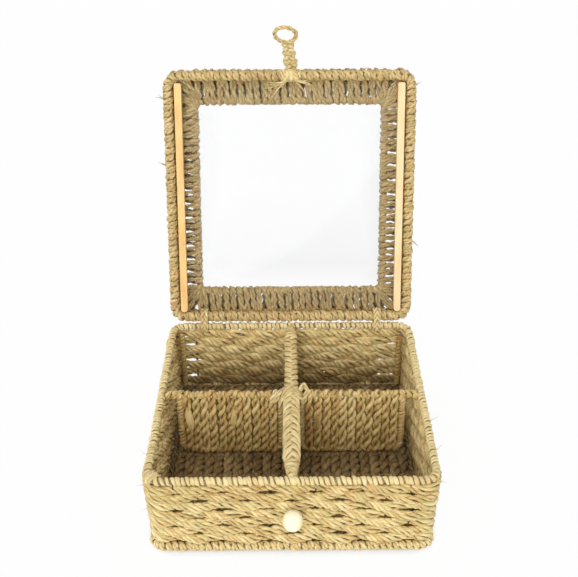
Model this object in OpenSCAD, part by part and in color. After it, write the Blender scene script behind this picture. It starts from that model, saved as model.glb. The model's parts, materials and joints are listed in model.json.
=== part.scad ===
// Tea bag organizer box of seagrass cord woven and wrapped on a steel wire frame.
// Four compartments, and a hinged lid with a clear window held by two wooden strips.
// Millimetres. X is to the right, Y to the back, Z up. The origin is the middle of the base.
// The lid is drawn open, leaning back on its hinge ties, as it stands when the box is in use.

/* [Box] */
// Overall width of the box
box_w = 190; // [170:1:230]
// Overall depth of the box
box_d = 190; // [170:1:230]
// Height of the rim above the surface that the box stands on
box_h = 62; // [56:1:80]
// Outer radius of the rounded corners
corner_r = 12; // [11:0.5:16]
// Diameter of the wrapped top rim
rim_d = 5.5; // [5:0.1:7]
// Diameter of the wrapped base rim
base_d = 6.8; // [6:0.1:8]
// Depth of the flat that the base rim stands on
base_flat = 0.5; // [0.3:0.1:1]
// Diameter of the frame's wires
frame_wire_d = 2.6; // [2:0.1:2.8]
// Diameter of the four upright corner wires
post_d = 3; // [2:0.1:3.2]

/* [Weave] */
// Rows of cord in each wall
wall_rows = 7; // [5:1:8]
// Upright stakes in each wall
wall_stakes_n = 11; // [9:2:13]
// Diameter of a stake
stake_d = 2; // [1.5:0.1:2.4]
// Thickness of a wall cord, seen from above
wall_cord_t = 3.4; // [2.6:0.1:3.8]
// Slit between two rows of a wall
row_gap = 0.3; // [0.2:0.05:0.6]
// Rows of cord in the floor
floor_rows = 24; // [18:1:26]
// Wires under the floor's weave
floor_wires_n = 7; // [5:2:9]
// Thickness of a floor cord
floor_cord_t = 2.8; // [2:0.1:3]
// Height of the floor's wires above the surface
floor_z = 5; // [4.9:0.1:5.2]

/* [Dividers] */
// Diameter of the braided rope on top of the long divider
long_rope_d = 9; // [7:0.5:10]
// Diameter of the rope on top of the two short dividers
short_rope_d = 6.5; // [5.5:0.5:8]
// Diameter of the wrap on the dividers' sides and feet
divider_wrap_d = 5; // [4:0.2:5.6]
// Thickness of a divider cord
divider_cord_t = 3; // [2.4:0.1:3.2]
// Width that one divider cord takes
divider_cord_pitch = 6.4; // [5.5:0.1:8]
// Gap between a short divider and the side wall
short_gap = 3.6; // [1:0.1:6]
// Diameter of a divider rope's ends, where they reach over the walls to the rim
nose_d = 4.4; // [3:0.2:4.8]
// Radius of the bends in a divider's wire
divider_bend_r = 5; // [4:0.5:7]
// Diameter of the cord that lashes the dividers where they cross
lashing_d = 2.6; // [2:0.1:3]

/* [Lid] */
// How far the closed lid's free side stands back from the box's front
lid_set_back = 0.25; // [0:0.05:2]
// Angle that the lid stands open at
open_angle = 105.5; // [95:0.5:115]
// Diameter of the rope round the lid's rim
lid_rope_d = 8; // [7:0.5:8.5]
// Diameter of the lid's outer edge wrap
edge_d = 8.8; // [7:0.2:9]
// Diameter of the wrap round the window
window_wrap_d = 6; // [5:0.2:6.6]
// Width of the lid's flat frame, from the box's side to the window opening
lid_frame_w = 25.8; // [22:0.1:32]
// Width of a flat strand of the lid's frame
strand_w = 4.4; // [3:0.2:5]
// Thickness of a strand
strand_t = 2.8; // [2:0.1:3]
// Distance from one strand to the next
strand_pitch = 10.8; // [9:0.2:14]
// Width of a wooden strip
strip_w = 5.2; // [4:0.1:6]
// Thickness of a wooden strip
strip_t = 6.5; // [4:0.5:6.5]
// Gap between a wooden strip and the rope beside it
strip_gap = 0.9; // [0.3:0.1:2]
// Radius of the strips' corners at the lid's free side
strip_round = 1.2; // [0.6:0.1:1.6]
// Thickness of the clear pane
pane_t = 2; // [1.5:0.1:2]

/* [Hinge and closure] */
// How far behind the box's rim the hinge line lies
hinge_back = 3; // [2.6:0.1:4]
// Thickness of a hinge tie's cord
tie_t = 2.3; // [1.6:0.1:2.3]
// Width of one turn of a hinge tie
tie_turn_w = 2.6; // [2:0.1:3]
// Diameter of the wooden bead
bead_d = 13; // [11:0.5:13]
// Diameter of the bead's cord
bead_cord_d = 2.4; // [2:0.1:3]
// Length of the closure loop, from its fold to the middle of its eye
loop_reach = 30.9; // [26:0.1:34]
// Inner radius of the loop's eye
eye_r = 5.5; // [5.5:0.1:6]
// Diameter of the eye's cord
eye_cord_d = 3; // [2.4:0.1:3.2]
// Width of the loop's braided tail
tail_w = 9; // [7:0.5:10]
// Thickness of the tail
tail_t = 3.6; // [3:0.1:4]
// Angle that the loop leans to the left at
loop_lean = 8; // [0:0.5:8]
// Angle that the loop nods forward at, out of the lid's plane
loop_nod = 42; // [20:1:50]
// Place of the loop's fold, right of the middle
closure_x = 1; // [-3:0.5:3]

/* [Fit] */
// Gap between pieces that seat on each other
seat = 0.3; // [0.2:0.05:0.5]
// Gap between a cord and the wire that it passes
pass = 0.2; // [0.15:0.05:0.3]
// Gap between the closed lid and the box's rim
lid_gap = 0.4; // [0.35:0.05:0.8]

/* [Hidden] */
$fn = 48;

straw = [0.85, 0.74, 0.48];
pale_straw = [0.92, 0.83, 0.60];
dark_straw = [0.62, 0.50, 0.28];
pine = [0.96, 0.84, 0.62];
wire_grey = [0.55, 0.55, 0.56];
clear = [0.85, 0.92, 0.95, 0.35];

// Corner centres, and the centre lines of the rims and walls
corner_x = box_w/2 - corner_r;
corner_y = box_d/2 - corner_r;
rim_z = box_h - rim_d/2;
rim_inset = rim_d/2;
base_z = base_d/2 - base_flat;
base_inset = base_d/2 + 0.2;
wall_swing = stake_d/2 + pass + wall_cord_t/2;
wall_half = wall_swing + wall_cord_t/2;
wall_inset = 0.4 + wall_half;
wall_lo = base_z + base_d/2 + seat;
wall_hi = rim_z - rim_d/2 - seat;
row_pitch = (wall_hi - wall_lo)/wall_rows;
inner_x = box_w/2 - wall_inset - wall_half;
inner_y = box_d/2 - wall_inset - wall_half;

// Floor
floor_wire_d = 2;
floor_swing = floor_wire_d/2 + pass + floor_cord_t/2;
floor_top = floor_z + floor_swing + floor_cord_t/2;
floor_len = 2*(inner_y - 0.5);
floor_pitch = 2*(inner_x - 0.5)/floor_rows;
// How far the base rim's rope reaches in at the height of the floor wires' undersides
base_reach = sqrt(pow(base_d/2, 2) - pow(floor_z - floor_wire_d/2 - base_z, 2));
floor_wire_len = box_w - 2*(base_inset + base_reach + seat);

// Dividers
foot_z = floor_top + seat + divider_wrap_d/2;
mid_wire_d = 2.2;
divider_swing = mid_wire_d/2 + pass + divider_cord_t/2;
divider_half = divider_swing + divider_cord_t/2;
long_post_y = inner_y - 0.4 - divider_wrap_d/2;
short_in = max(long_rope_d/2, divider_half) + 0.4 + divider_wrap_d/2;
short_out = inner_x - short_gap - divider_wrap_d/2;

// Lid, drawn closed with its hinge line on the X axis and its free side towards -Y
hinge_y = box_d/2 - rim_inset + hinge_back;
hinge_z = box_h + lid_gap + lid_rope_d/2;
lid_half_w = box_w/2 - lid_rope_d/2;
lid_run = hinge_y + box_d/2 - lid_set_back - lid_rope_d/2;
lid_corner = corner_r - lid_rope_d/2;
edge_z = lid_rope_d/2 + 0.6 + edge_d/2;
seat_wire_d = 3;
window_line = box_w/2 - lid_frame_w + window_wrap_d/2;
window_corner = window_wrap_d/2 + 1;
pane_top = edge_z - window_wrap_d/2 - 0.4;
pane_z = pane_top - pane_t;
pane_margin = 7;
strip_top = pane_z - seat;
tie_in_r = lid_rope_d/2 + 0.35;
stake_pitch = 2*corner_x/wall_stakes_n;
tie_x = 4.5*stake_pitch;
tie_notch = 2*tie_turn_w + 0.2 + 2.4;

// Closure
knuckle_r = 2.8;
fold_out = lid_rope_d/2 + 0.8 + knuckle_r;
anchor_len = 13;
bead_z = hinge_z - loop_reach;
bead_bore_deep = 9;
// The bead's middle lies this far from the hanging eye's middle, square to the eye
bead_stand = sqrt(pow(bead_d/2 + eye_cord_d/2 + seat + 0.05, 2) - pow(eye_r + eye_cord_d/2, 2));
bead_x = closure_x - bead_stand*sin(loop_lean);
bead_y = hinge_y - lid_run - fold_out - bead_stand*cos(loop_lean);

// A rounded rectangular ring of tubes on its centre line, in the XY plane
module tube_ring(w, d, bend, r) {
    for (side = [-1, 1]) {
        translate([side*w/2, 0, 0]) rotate([90, 0, 0]) cylinder(r = r, h = d - 2*bend, center = true);
        translate([0, side*d/2, 0]) rotate([0, 90, 0]) cylinder(r = r, h = w - 2*bend, center = true);
    }
    for (turn = [0:3]) {
        sx = (turn == 0 || turn == 3) ? 1 : -1;
        sy = (turn < 2) ? 1 : -1;
        translate([sx*(w/2 - bend), sy*(d/2 - bend), 0])
            rotate(90*turn) rotate_extrude(angle = 90) translate([bend, 0]) circle(r = r);
    }
}

// A wrap round a ring of wire
module wrap_ring(w, d, bend, wrap_d, wire_d) {
    difference() {
        tube_ring(w, d, bend, wrap_d/2);
        tube_ring(w, d, bend, wire_d/2 + seat);
    }
}

// Outline of a cord that passes in front of one stake and behind the next
function weave_outline(run, stakes, swing, cord_t, side) =
    let (steps = 4*max(stakes, 2))
    let (line = [for (i = [0:steps]) [run*(i/steps - 0.5), side*swing*sin(180*stakes*i/steps)]])
    concat([for (p = line) [p[0], p[1] + cord_t/2]],
           [for (i = [steps:-1:0]) [line[i][0], line[i][1] - cord_t/2]]);

// The rows of one wall, whose middle line runs along X
module wall_rows_of(run, depth_line, side_first, turns) {
    for (row = [0:wall_rows - 1]) {
        side = (row % 2 == 0) ? side_first : -side_first;
        translate([0, -depth_line, wall_lo + row*row_pitch]) {
            linear_extrude(row_pitch - row_gap)
                polygon(weave_outline(run, wall_stakes_n, wall_swing, wall_cord_t, side));
            if (turns) for (end = [-1, 1]) corner_turn(end, run);
        }
    }
}

// The quarter turn of a row round a corner
module corner_turn(end, run) {
    bend = corner_r - wall_inset;
    translate([end*run/2, bend, 0]) mirror([end < 0 ? 1 : 0, 0, 0]) rotate(-90)
        rotate_extrude(angle = 90) translate([bend - wall_cord_t/2, 0]) square([wall_cord_t, row_pitch - row_gap]);
}

// Places what follows on one of the four walls, 0 front, 1 right, 2 back, 3 left
module on_wall(wall) {
    rotate(90*wall) children();
}

module base_rim_wire() color(wire_grey)
    translate([0, 0, base_z])
        tube_ring(box_w - 2*base_inset, box_d - 2*base_inset, corner_r - base_inset, frame_wire_d/2);

module base_rim_wrap() color(straw)
    difference() {
        translate([0, 0, base_z])
            wrap_ring(box_w - 2*base_inset, box_d - 2*base_inset, corner_r - base_inset, base_d, frame_wire_d);
        translate([0, 0, -base_d/2]) cube([2*box_w, 2*box_d, base_d], center = true);
    }

module top_rim_wire() color(wire_grey)
    translate([0, 0, rim_z])
        tube_ring(box_w - 2*rim_inset, box_d - 2*rim_inset, corner_r - rim_inset, frame_wire_d/2);

module top_rim_wrap() color(pale_straw)
    translate([0, 0, rim_z])
        wrap_ring(box_w - 2*rim_inset, box_d - 2*rim_inset, corner_r - rim_inset, rim_d, frame_wire_d);

// Upright wires inside the rounded corners
module corner_posts() color(wire_grey) {
    reach = corner_r - wall_inset - wall_cord_t/2 - pass - post_d/2;
    for (sx = [-1, 1], sy = [-1, 1])
        translate([sx*(corner_x + reach*sin(45)), sy*(corner_y + reach*sin(45)), wall_lo])
            cylinder(d = post_d, h = wall_hi - wall_lo);
}

module stake_row(run, depth_line) {
    for (i = [0:wall_stakes_n - 1])
        translate([run*((i + 0.5)/wall_stakes_n - 0.5), -depth_line, wall_lo])
            cylinder(d = stake_d, h = wall_hi - wall_lo);
}

module wall_stakes() color(dark_straw)
    for (wall = [0:3]) on_wall(wall)
        stake_row(wall % 2 == 0 ? 2*corner_x : 2*corner_y, (wall % 2 == 0 ? box_d : box_w)/2 - wall_inset);

// The front and back rows go on round the corners, and the side rows run between them
module front_wall_weave() color(straw) wall_rows_of(2*corner_x, box_d/2 - wall_inset, 1, true);

module back_wall_weave() color(straw)
    difference() {
        on_wall(2) wall_rows_of(2*corner_x, box_d/2 - wall_inset, 1, true);
        for (side = [-1, 1]) tie_slot(side);
    }

module left_wall_weave() color(straw) on_wall(3) wall_rows_of(2*corner_y, box_w/2 - wall_inset, -1, false);

module right_wall_weave() color(straw) on_wall(1) wall_rows_of(2*corner_y, box_w/2 - wall_inset, -1, false);

// The slot in the top row that a hinge tie passes through, under the rim
module tie_slot(side) {
    slot_lo = rim_z - rim_d/2 - seat - tie_t - seat;
    translate([side*tie_x - tie_notch/2, box_d/2 - 2*wall_half - wall_inset, slot_lo])
        cube([tie_notch, 4*wall_half, rim_d]);
}

module floor_wires() color(wire_grey)
    for (i = [0:floor_wires_n - 1])
        translate([0, floor_len*((i + 0.5)/floor_wires_n - 0.5), floor_z])
            rotate([0, 90, 0]) cylinder(d = floor_wire_d, h = floor_wire_len, center = true);

// The floor's cords run from front to back, over one wire and under the next
module floor_weave() color(dark_straw)
    for (row = [0:floor_rows - 1]) {
        side = (row % 2 == 0) ? 1 : -1;
        translate([(row + 0.5 - floor_rows/2)*floor_pitch - (floor_pitch - row_gap)/2, 0, floor_z])
            rotate([90, 0, 90]) linear_extrude(floor_pitch - row_gap)
                polygon(weave_outline(floor_len, floor_wires_n, floor_swing, floor_cord_t, side));
    }

// The narrow end of a divider's top rope, which reaches over the wall to the rim
module rope_nose(side, nose_from, half_width) {
    nose_to = half_width - rim_d - seat;
    translate([side*(nose_from + nose_to)/2, 0, rim_z]) rotate([0, 90, 0])
        cylinder(d = nose_d, h = nose_to - nose_from, center = true);
}

// A divider's parts stand in the XZ plane, and run along X
module divider_wire(x_from, x_to, top_line) {
    translate([(x_from + x_to)/2, 0, (foot_z + top_line)/2]) rotate([90, 0, 0])
        tube_ring(x_to - x_from, top_line - foot_z, divider_bend_r, frame_wire_d/2);
    clear_run = x_to - x_from - divider_wrap_d - 2*seat;
    translate([(x_from + x_to)/2, 0, (foot_z + top_line)/2]) rotate([0, 90, 0])
        cylinder(d = mid_wire_d, h = clear_run, center = true);
}

module divider_wrap(x_from, x_to, top_line, rope_d) {
    difference() {
        union() {
            translate([(x_from + x_to)/2, 0, (foot_z + top_line)/2]) rotate([90, 0, 0])
                tube_ring(x_to - x_from, top_line - foot_z, divider_bend_r, divider_wrap_d/2);
            translate([(x_from + x_to)/2, 0, top_line]) rotate([0, 90, 0])
                cylinder(d = rope_d, h = x_to - x_from + divider_wrap_d, center = true);
        }
        translate([(x_from + x_to)/2, 0, (foot_z + top_line)/2]) rotate([90, 0, 0])
            tube_ring(x_to - x_from, top_line - foot_z, divider_bend_r, frame_wire_d/2 + seat);
    }
}

// Upright cords, each on one side of the middle wire, between the foot and the top rope
module divider_weave(x_from, x_to, top_line, rope_d) {
    lo = foot_z + divider_wrap_d/2 + seat;
    hi = top_line - rope_d/2 - seat;
    run = x_to - x_from - 2*divider_bend_r;
    cords = floor(run/divider_cord_pitch);
    pitch = run/cords;
    for (i = [0:cords - 1]) {
        side = (i % 2 == 0) ? 1 : -1;
        translate([(x_from + x_to)/2 - run/2 + i*pitch + row_gap/2, 0, (lo + hi)/2])
            rotate([90, 0, 90]) linear_extrude(pitch - row_gap) rotate(90)
                polygon(weave_outline(hi - lo, 1, divider_swing, divider_cord_t, side));
    }
}

long_top = box_h - long_rope_d/2;
short_top = box_h - short_rope_d/2;

module center_divider_wire() color(wire_grey)
    rotate(90) divider_wire(-long_post_y, long_post_y, long_top);

module center_divider_wrap() color(pale_straw) rotate(90) {
    divider_wrap(-long_post_y, long_post_y, long_top, long_rope_d);
    for (side = [-1, 1]) rope_nose(side, inner_y - 1, box_d/2);
}

module center_divider_weave() color(straw)
    rotate(90) divider_weave(-long_post_y, long_post_y, long_top, long_rope_d);

module left_divider_wire() color(wire_grey) divider_wire(-short_out, -short_in, short_top);
module left_divider_wrap() color(straw) {
    divider_wrap(-short_out, -short_in, short_top, short_rope_d);
    rope_nose(-1, short_out + frame_wire_d/2 + seat, box_w/2);
}
module left_divider_weave() color(straw) divider_weave(-short_out, -short_in, short_top, short_rope_d);
module right_divider_wire() color(wire_grey) divider_wire(short_in, short_out, short_top);
module right_divider_wrap() color(straw) {
    divider_wrap(short_in, short_out, short_top, short_rope_d);
    rope_nose(1, short_out + frame_wire_d/2 + seat, box_w/2);
}
module right_divider_weave() color(straw) divider_weave(short_in, short_out, short_top, short_rope_d);

// Two half turns of cord over the long rope, one on each side of the short dividers
module divider_lashing() color(pale_straw) {
    arch_r = long_rope_d/2 + seat + lashing_d/2;
    arch_y = short_rope_d/2 + seat + lashing_d/2;
    for (side = [-1, 1]) translate([0, side*arch_y, long_top]) rotate([90, 0, 0])
        rotate_extrude(angle = 180) translate([arch_r, 0]) circle(d = lashing_d);
}

// The outline of a belt round two circles, from the lines that touch both
module belt_outline(a, ra, b, rb) {
    gap = norm(b - a);
    heading = atan2(b[1] - a[1], b[0] - a[0]);
    spread = acos((ra - rb)/gap);
    function touch(c, r, turn) = c + r*[cos(heading + turn), sin(heading + turn)];
    translate(a) circle(r = ra);
    translate(b) circle(r = rb);
    polygon([touch(a, ra, spread), touch(b, rb, spread), touch(b, rb, -spread), touch(a, ra, -spread)]);
}

// Two turns of cord round the lid's rope and the box's rim. The lid's rope turns inside them.
module hinge_tie(side) {
    rim_line = [box_d/2 - rim_inset, rim_z];
    lid_line = [hinge_y, hinge_z];
    rim_in_r = rim_d/2 + seat;
    for (turn = [-1, 1])
        translate([side*tie_x + turn*(tie_turn_w + 0.2)/2 - tie_turn_w/2, 0, 0])
            rotate([90, 0, 90]) linear_extrude(tie_turn_w) difference() {
                belt_outline(lid_line, tie_in_r + tie_t, rim_line, rim_in_r + tie_t);
                belt_outline(lid_line, tie_in_r, rim_line, rim_in_r);
            }
}

module hinge_tie_left() color(pale_straw) hinge_tie(-1);
module hinge_tie_right() color(pale_straw) hinge_tie(1);

module knob_bead() color(pine)
    translate([bead_x, bead_y, bead_z]) difference() {
        sphere(d = bead_d);
        translate([0, bead_d, 0]) rotate([90, 0, 0])
            cylinder(d = bead_cord_d + 2*pass, h = bead_d + bead_bore_deep - bead_d/2);
    }

// The cord runs from the wall into the bead's blind bore
module knob_tie() color(pale_straw) {
    front_y = bead_y + bead_d/2 - bead_bore_deep + seat;
    back_y = -box_d/2 + wall_inset - wall_half - seat;
    translate([bead_x, back_y, bead_z]) rotate([90, 0, 0]) cylinder(d = bead_cord_d, h = back_y - front_y);
}

// Places the lid, drawn closed, at the angle that it stands open at
module open_lid() {
    translate([0, hinge_y, hinge_z]) rotate([-open_angle, 0, 0]) children();
}

module lid_ring_at(z) {
    translate([0, -lid_run/2, z]) children();
}

module lid_seat_wire() color(wire_grey) open_lid()
    lid_ring_at(0) tube_ring(2*lid_half_w, lid_run, lid_corner, seat_wire_d/2);

// The rim's rope leaves a gap for the closure loop's own turns
module lid_seat_wrap() color(pale_straw) open_lid()
    difference() {
        lid_ring_at(0) wrap_ring(2*lid_half_w, lid_run, lid_corner, lid_rope_d, seat_wire_d);
        translate([closure_x, -lid_run, 0]) cube([anchor_len + 2*seat, 2*lid_rope_d, 2*lid_rope_d], center = true);
    }

module lid_edge_wire() color(wire_grey) open_lid()
    lid_ring_at(edge_z) tube_ring(2*lid_half_w, lid_run, lid_corner, frame_wire_d/2);

// The edge wrap leaves a gap at each hinge tie
module lid_edge_wrap() color(straw) open_lid()
    difference() {
        lid_ring_at(edge_z) wrap_ring(2*lid_half_w, lid_run, lid_corner, edge_d, frame_wire_d);
        for (side = [-1, 1])
            translate([side*tie_x, 0, edge_z]) cube([tie_notch, 2*edge_d, 2*edge_d], center = true);
    }

module window_wire() color(wire_grey) open_lid()
    lid_ring_at(edge_z) tube_ring(2*window_line, window_l(), window_corner, frame_wire_d/2);

module window_wrap() color(pale_straw) open_lid()
    lid_ring_at(edge_z) wrap_ring(2*window_line, window_l(), window_corner, window_wrap_d, frame_wire_d);

// The window's centre line along the lid leaves the same frame width on all four sides
function window_l() = lid_run - 2*(lid_half_w - window_line);

// Slanting strands between the edge wrap and the window wrap, in two crossing layers
module strand_layers(run) {
    near = lid_half_w - edge_d/2 - seat;
    far = window_line + window_wrap_d/2 + seat;
    count = floor(run/strand_pitch);
    pitch = run/count;
    for (layer = [-1, 1], i = [0:count - 1]) {
        mid = (i + 0.5)*pitch - run/2;
        slant = layer*pitch/4;
        translate([0, 0, edge_z + layer*(strand_t/2 + 0.2) - strand_t/2]) linear_extrude(strand_t)
            polygon([[mid - slant - strand_w/2, -far], [mid - slant + strand_w/2, -far],
                     [mid + slant + strand_w/2, -near], [mid + slant - strand_w/2, -near]]);
    }
}

// One diagonal pair of strands across a corner of the lid's frame
module corner_strands() {
    cross_angle = 4;
    from = sqrt(2)*(window_line - window_corner) + window_corner + window_wrap_d/2 + seat;
    bend_in = lid_corner - edge_d/2 - seat;
    half_end = strand_w/2 + 0.7;
    to = sqrt(2)*(lid_half_w - lid_corner) + sqrt(pow(max(bend_in, half_end), 2) - pow(half_end, 2)) - 0.2;
    for (layer = [-1, 1])
        translate([0, 0, edge_z + layer*(strand_t/2 + 0.2) - strand_t/2]) linear_extrude(strand_t)
            rotate(-45) translate([(from + to)/2 + 0.1, 0]) rotate(layer*cross_angle)
                square([to - from - 0.4, strand_w], center = true);
}

// One side of the lid's frame, 0 front, 1 right, 2 back, 3 left, with the strands at its right-hand corner
module lid_side(side) {
    lengthen = (lid_run - 2*lid_half_w)/2;
    shift = (side % 2 == 0) ? lengthen : 0;
    run = (side % 2 == 0) ? 2*window_line - strand_w : window_l() - strand_w;
    open_lid() lid_ring_at(0) rotate(90*side) translate([0, -shift, 0]) {
        strand_layers(run);
        translate([lengthen - shift, 0, 0]) corner_strands();
    }
}

module lid_front_strands() color(straw) lid_side(0);
module lid_right_strands() color(straw) lid_side(1);
module lid_back_strands() color(straw) lid_side(2);
module lid_left_strands() color(straw) lid_side(3);

strip_x = lid_half_w - lid_rope_d/2 - strip_gap - strip_w/2;

module window_pane() color(clear) open_lid()
    translate([-strip_x - strip_w/2, -lid_run + pane_margin, pane_z])
        cube([2*strip_x + strip_w, lid_run - 2*pane_margin, pane_t]);

// How far a strip's end with corners of radius r reaches from the lid's middle, clear of the rope's bend
function strip_end(r) =
    let (room = lid_corner - lid_rope_d/2 - seat - r)
    let (off = strip_x + strip_w/2 - r - lid_half_w + lid_corner)
    lid_run/2 - lid_corner + r + sqrt(max(0, room*room - off*off));

// Wooden strip between the rims that holds an edge of the pane, with a round end at the hinge side
module strip(side) {
    hinge_end = strip_end(strip_w/2) - strip_w/2;
    free_end = -strip_end(strip_round);
    open_lid() lid_ring_at(strip_top - strip_t) translate([side*strip_x, 0, 0]) linear_extrude(strip_t) {
        translate([0, hinge_end]) circle(d = strip_w);
        translate([-strip_w/2, free_end + strip_round]) square([strip_w, hinge_end - free_end - strip_round]);
        translate([-strip_w/2 + strip_round, free_end]) square([strip_w - 2*strip_round, 2*strip_round]);
        for (corner = [-1, 1])
            translate([corner*(strip_w/2 - strip_round), free_end + strip_round]) circle(r = strip_round);
    }
}

module left_strip() color(pine) strip(-1);
module right_strip() color(pine) strip(1);

// Turns of the loop's own cord round the lid's wire
module loop_anchor() color(pale_straw) open_lid()
    translate([closure_x, -lid_run, 0]) rotate([0, 90, 0]) difference() {
        cylinder(d = lid_rope_d, h = anchor_len, center = true);
        cylinder(d = seat_wire_d + 2*seat, h = 2*anchor_len, center = true);
    }

// The loop, drawn in the XY plane, folds about the X axis and reaches to -Y
module closure_loop() color(pale_straw) open_lid()
    translate([closure_x, -lid_run - fold_out, 0]) rotate(-loop_lean) rotate([loop_nod, 0, 0]) {
        ring_r = eye_r + eye_cord_d/2;
        tail_l = loop_reach - eye_r - 0.5;
        rotate([0, 90, 0]) cylinder(r = knuckle_r, h = tail_w, center = true);
        difference() {
            union() {
                translate([0, 0, -tail_t/2]) linear_extrude(tail_t)
                    polygon([[-tail_w/2, 0], [tail_w/2, 0], [tail_w/2 - 1, -tail_l], [-tail_w/2 + 1, -tail_l]]);
                translate([0, -loop_reach, 0]) rotate_extrude() translate([ring_r, 0]) circle(d = eye_cord_d);
            }
            translate([0, -loop_reach, 0]) cylinder(r = eye_r, h = 2*tail_t, center = true);
        }
    }

base_rim_wire();
base_rim_wrap();
top_rim_wire();
top_rim_wrap();
corner_posts();
wall_stakes();
front_wall_weave();
back_wall_weave();
left_wall_weave();
right_wall_weave();
floor_wires();
floor_weave();
center_divider_wire();
center_divider_wrap();
center_divider_weave();
left_divider_wire();
left_divider_wrap();
left_divider_weave();
right_divider_wire();
right_divider_wrap();
right_divider_weave();
divider_lashing();
hinge_tie_left();
hinge_tie_right();
knob_bead();
knob_tie();
lid_seat_wire();
lid_seat_wrap();
lid_edge_wire();
lid_edge_wrap();
window_wire();
window_wrap();
lid_front_strands();
lid_back_strands();
lid_left_strands();
lid_right_strands();
window_pane();
left_strip();
right_strip();
loop_anchor();
closure_loop();
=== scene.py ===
"""Looks of the tea bag organizer box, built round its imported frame.

Every cord is real geometry: closed strands swept along paths worked out from the frame's own sizes.
Paths are in millimetres, in the box's frame or in the closed lid's. Meshes are made in metres.
"""

import json
import math

import bpy
import numpy as np
from mathutils import Matrix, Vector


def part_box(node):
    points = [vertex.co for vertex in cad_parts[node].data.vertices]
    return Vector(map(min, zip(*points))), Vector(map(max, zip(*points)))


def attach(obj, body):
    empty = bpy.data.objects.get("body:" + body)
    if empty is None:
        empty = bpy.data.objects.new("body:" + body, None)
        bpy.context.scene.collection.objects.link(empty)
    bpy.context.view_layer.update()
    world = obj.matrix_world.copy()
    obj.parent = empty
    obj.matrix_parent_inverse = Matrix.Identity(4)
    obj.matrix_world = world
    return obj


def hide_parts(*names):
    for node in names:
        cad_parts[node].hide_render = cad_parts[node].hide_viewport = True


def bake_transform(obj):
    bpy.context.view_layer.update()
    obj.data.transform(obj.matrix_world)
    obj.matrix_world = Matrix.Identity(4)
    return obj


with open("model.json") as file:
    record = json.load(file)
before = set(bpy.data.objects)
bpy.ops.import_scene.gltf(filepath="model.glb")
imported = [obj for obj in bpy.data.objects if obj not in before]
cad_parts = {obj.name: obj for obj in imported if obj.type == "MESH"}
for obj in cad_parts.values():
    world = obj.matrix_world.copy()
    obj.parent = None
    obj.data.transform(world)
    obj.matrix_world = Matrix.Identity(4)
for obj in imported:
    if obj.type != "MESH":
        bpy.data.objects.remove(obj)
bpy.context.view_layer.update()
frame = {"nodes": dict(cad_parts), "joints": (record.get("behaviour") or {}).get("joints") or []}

MM = 0.001
TAU = 2 * math.pi
X, Y, Z = np.eye(3)


# ---------------------------------------------------------------- sizes, most of them from the frame

def span(node, axis):
    """Lowest and highest coordinate of a node at rest, in millimetres."""
    low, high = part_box(node)
    return low[axis] / MM, high[axis] / MM


JOINTS = {joint["name"]: joint for joint in frame["joints"]}
HINGE = [c / MM for c in JOINTS["lid_hinge"]["pos_m"]]
FOLD = [c / MM for c in JOINTS["loop_fold"]["pos_m"]]
OPEN = math.radians(JOINTS["lid_hinge"]["range_deg"][1])

BOX_HALF = span("top_rim_wrap", 0)[1]
RIM_LOW, RIM_HIGH = span("top_rim_wrap", 2)
RIM_R = (RIM_HIGH - RIM_LOW) / 2
RIM_LINE = BOX_HALF - RIM_R
RIM_Z = (RIM_LOW + RIM_HIGH) / 2
CORNER_R = 12.0
CORNER = BOX_HALF - CORNER_R
BASE_Z = 3.35
BASE_LINE = 91.4

WALL_LOW, WALL_HIGH = span("wall_stakes", 2)
WALL_LINE = 90.0
WALL_ROWS = 7
ROW_PITCH = (WALL_HIGH - WALL_LOW) / WALL_ROWS
STAKES = 11
FLOOR_Z = sum(span("floor_wires", 2)) / 2
FLOOR_HALF_X = span("floor_weave", 0)[1]
FLOOR_HALF_Y = span("floor_weave", 1)[1]
FLOOR_ROWS = 24
FLOOR_WIRES = 7

# Places of the dividers' wires' middle lines. The long one's turns sit 0.3 mm lower, inside its rope.
WIRE_R = 1.3
LONG_TOP = span("center_divider_wire", 2)[1] - WIRE_R - 0.3
LONG_POST = span("center_divider_wire", 1)[1] - WIRE_R
SHORT_TOP = span("left_divider_wire", 2)[1] - WIRE_R
SHORT_IN = span("right_divider_wire", 0)[0] + WIRE_R
SHORT_OUT = span("right_divider_wire", 0)[1] - WIRE_R
FOOT_Z = span("left_divider_wire", 2)[0] + WIRE_R

# The lid's sizes are in the closed lid's coordinates, with the hinge at the origin.
LID_HALF = 91.0
LID_RUN = 186.0
LID_CORNER = 8.0
LID_MIDDLE = -LID_RUN / 2
SEAT_N = RIM_HIGH + 0.08 - HINGE[2]
EDGE_N = 9.0
WINDOW_LINE = 72.2
WINDOW_CORNER = 4.0
FRAME_GAP = LID_HALF - WINDOW_LINE
WINDOW_RUN = LID_RUN - 2 * FRAME_GAP
TIE_X = 67.9

BEAD = [sum(span("knob_bead", axis)) / 2 for axis in range(3)]
BEAD_R = (span("knob_bead", 2)[1] - span("knob_bead", 2)[0]) / 2
LOOP_REACH = 30.9
EYE_HALF = (7.9, 6.5)
EYE_TILT = 0.5
LOOP_LEAN = math.radians(8)
LOOP_NOD = math.radians(90 - JOINTS["loop_fold"]["range_deg"][1])

# How bright the white surroundings are for light that falls on the object.
TENT = 0.76


# ---------------------------------------------------------------- vectors and paths

def unit(v):
    return v / np.maximum(np.linalg.norm(v, axis=-1, keepdims=True), 1e-9)


def trace(x, y, z):
    """Points from their coordinates, where one number stands for all points."""
    return np.stack(np.broadcast_arrays(x, y, z), 1)


def raised(flat, z):
    return trace(*flat.T, z)


def steady(direction, path):
    """A direction for each point of a path."""
    return np.broadcast_to(np.asarray(direction, float), path.shape)


def lap_angles(count):
    """Even angles once round a circle."""
    return np.linspace(0, TAU, count + 1)[:-1]


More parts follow.
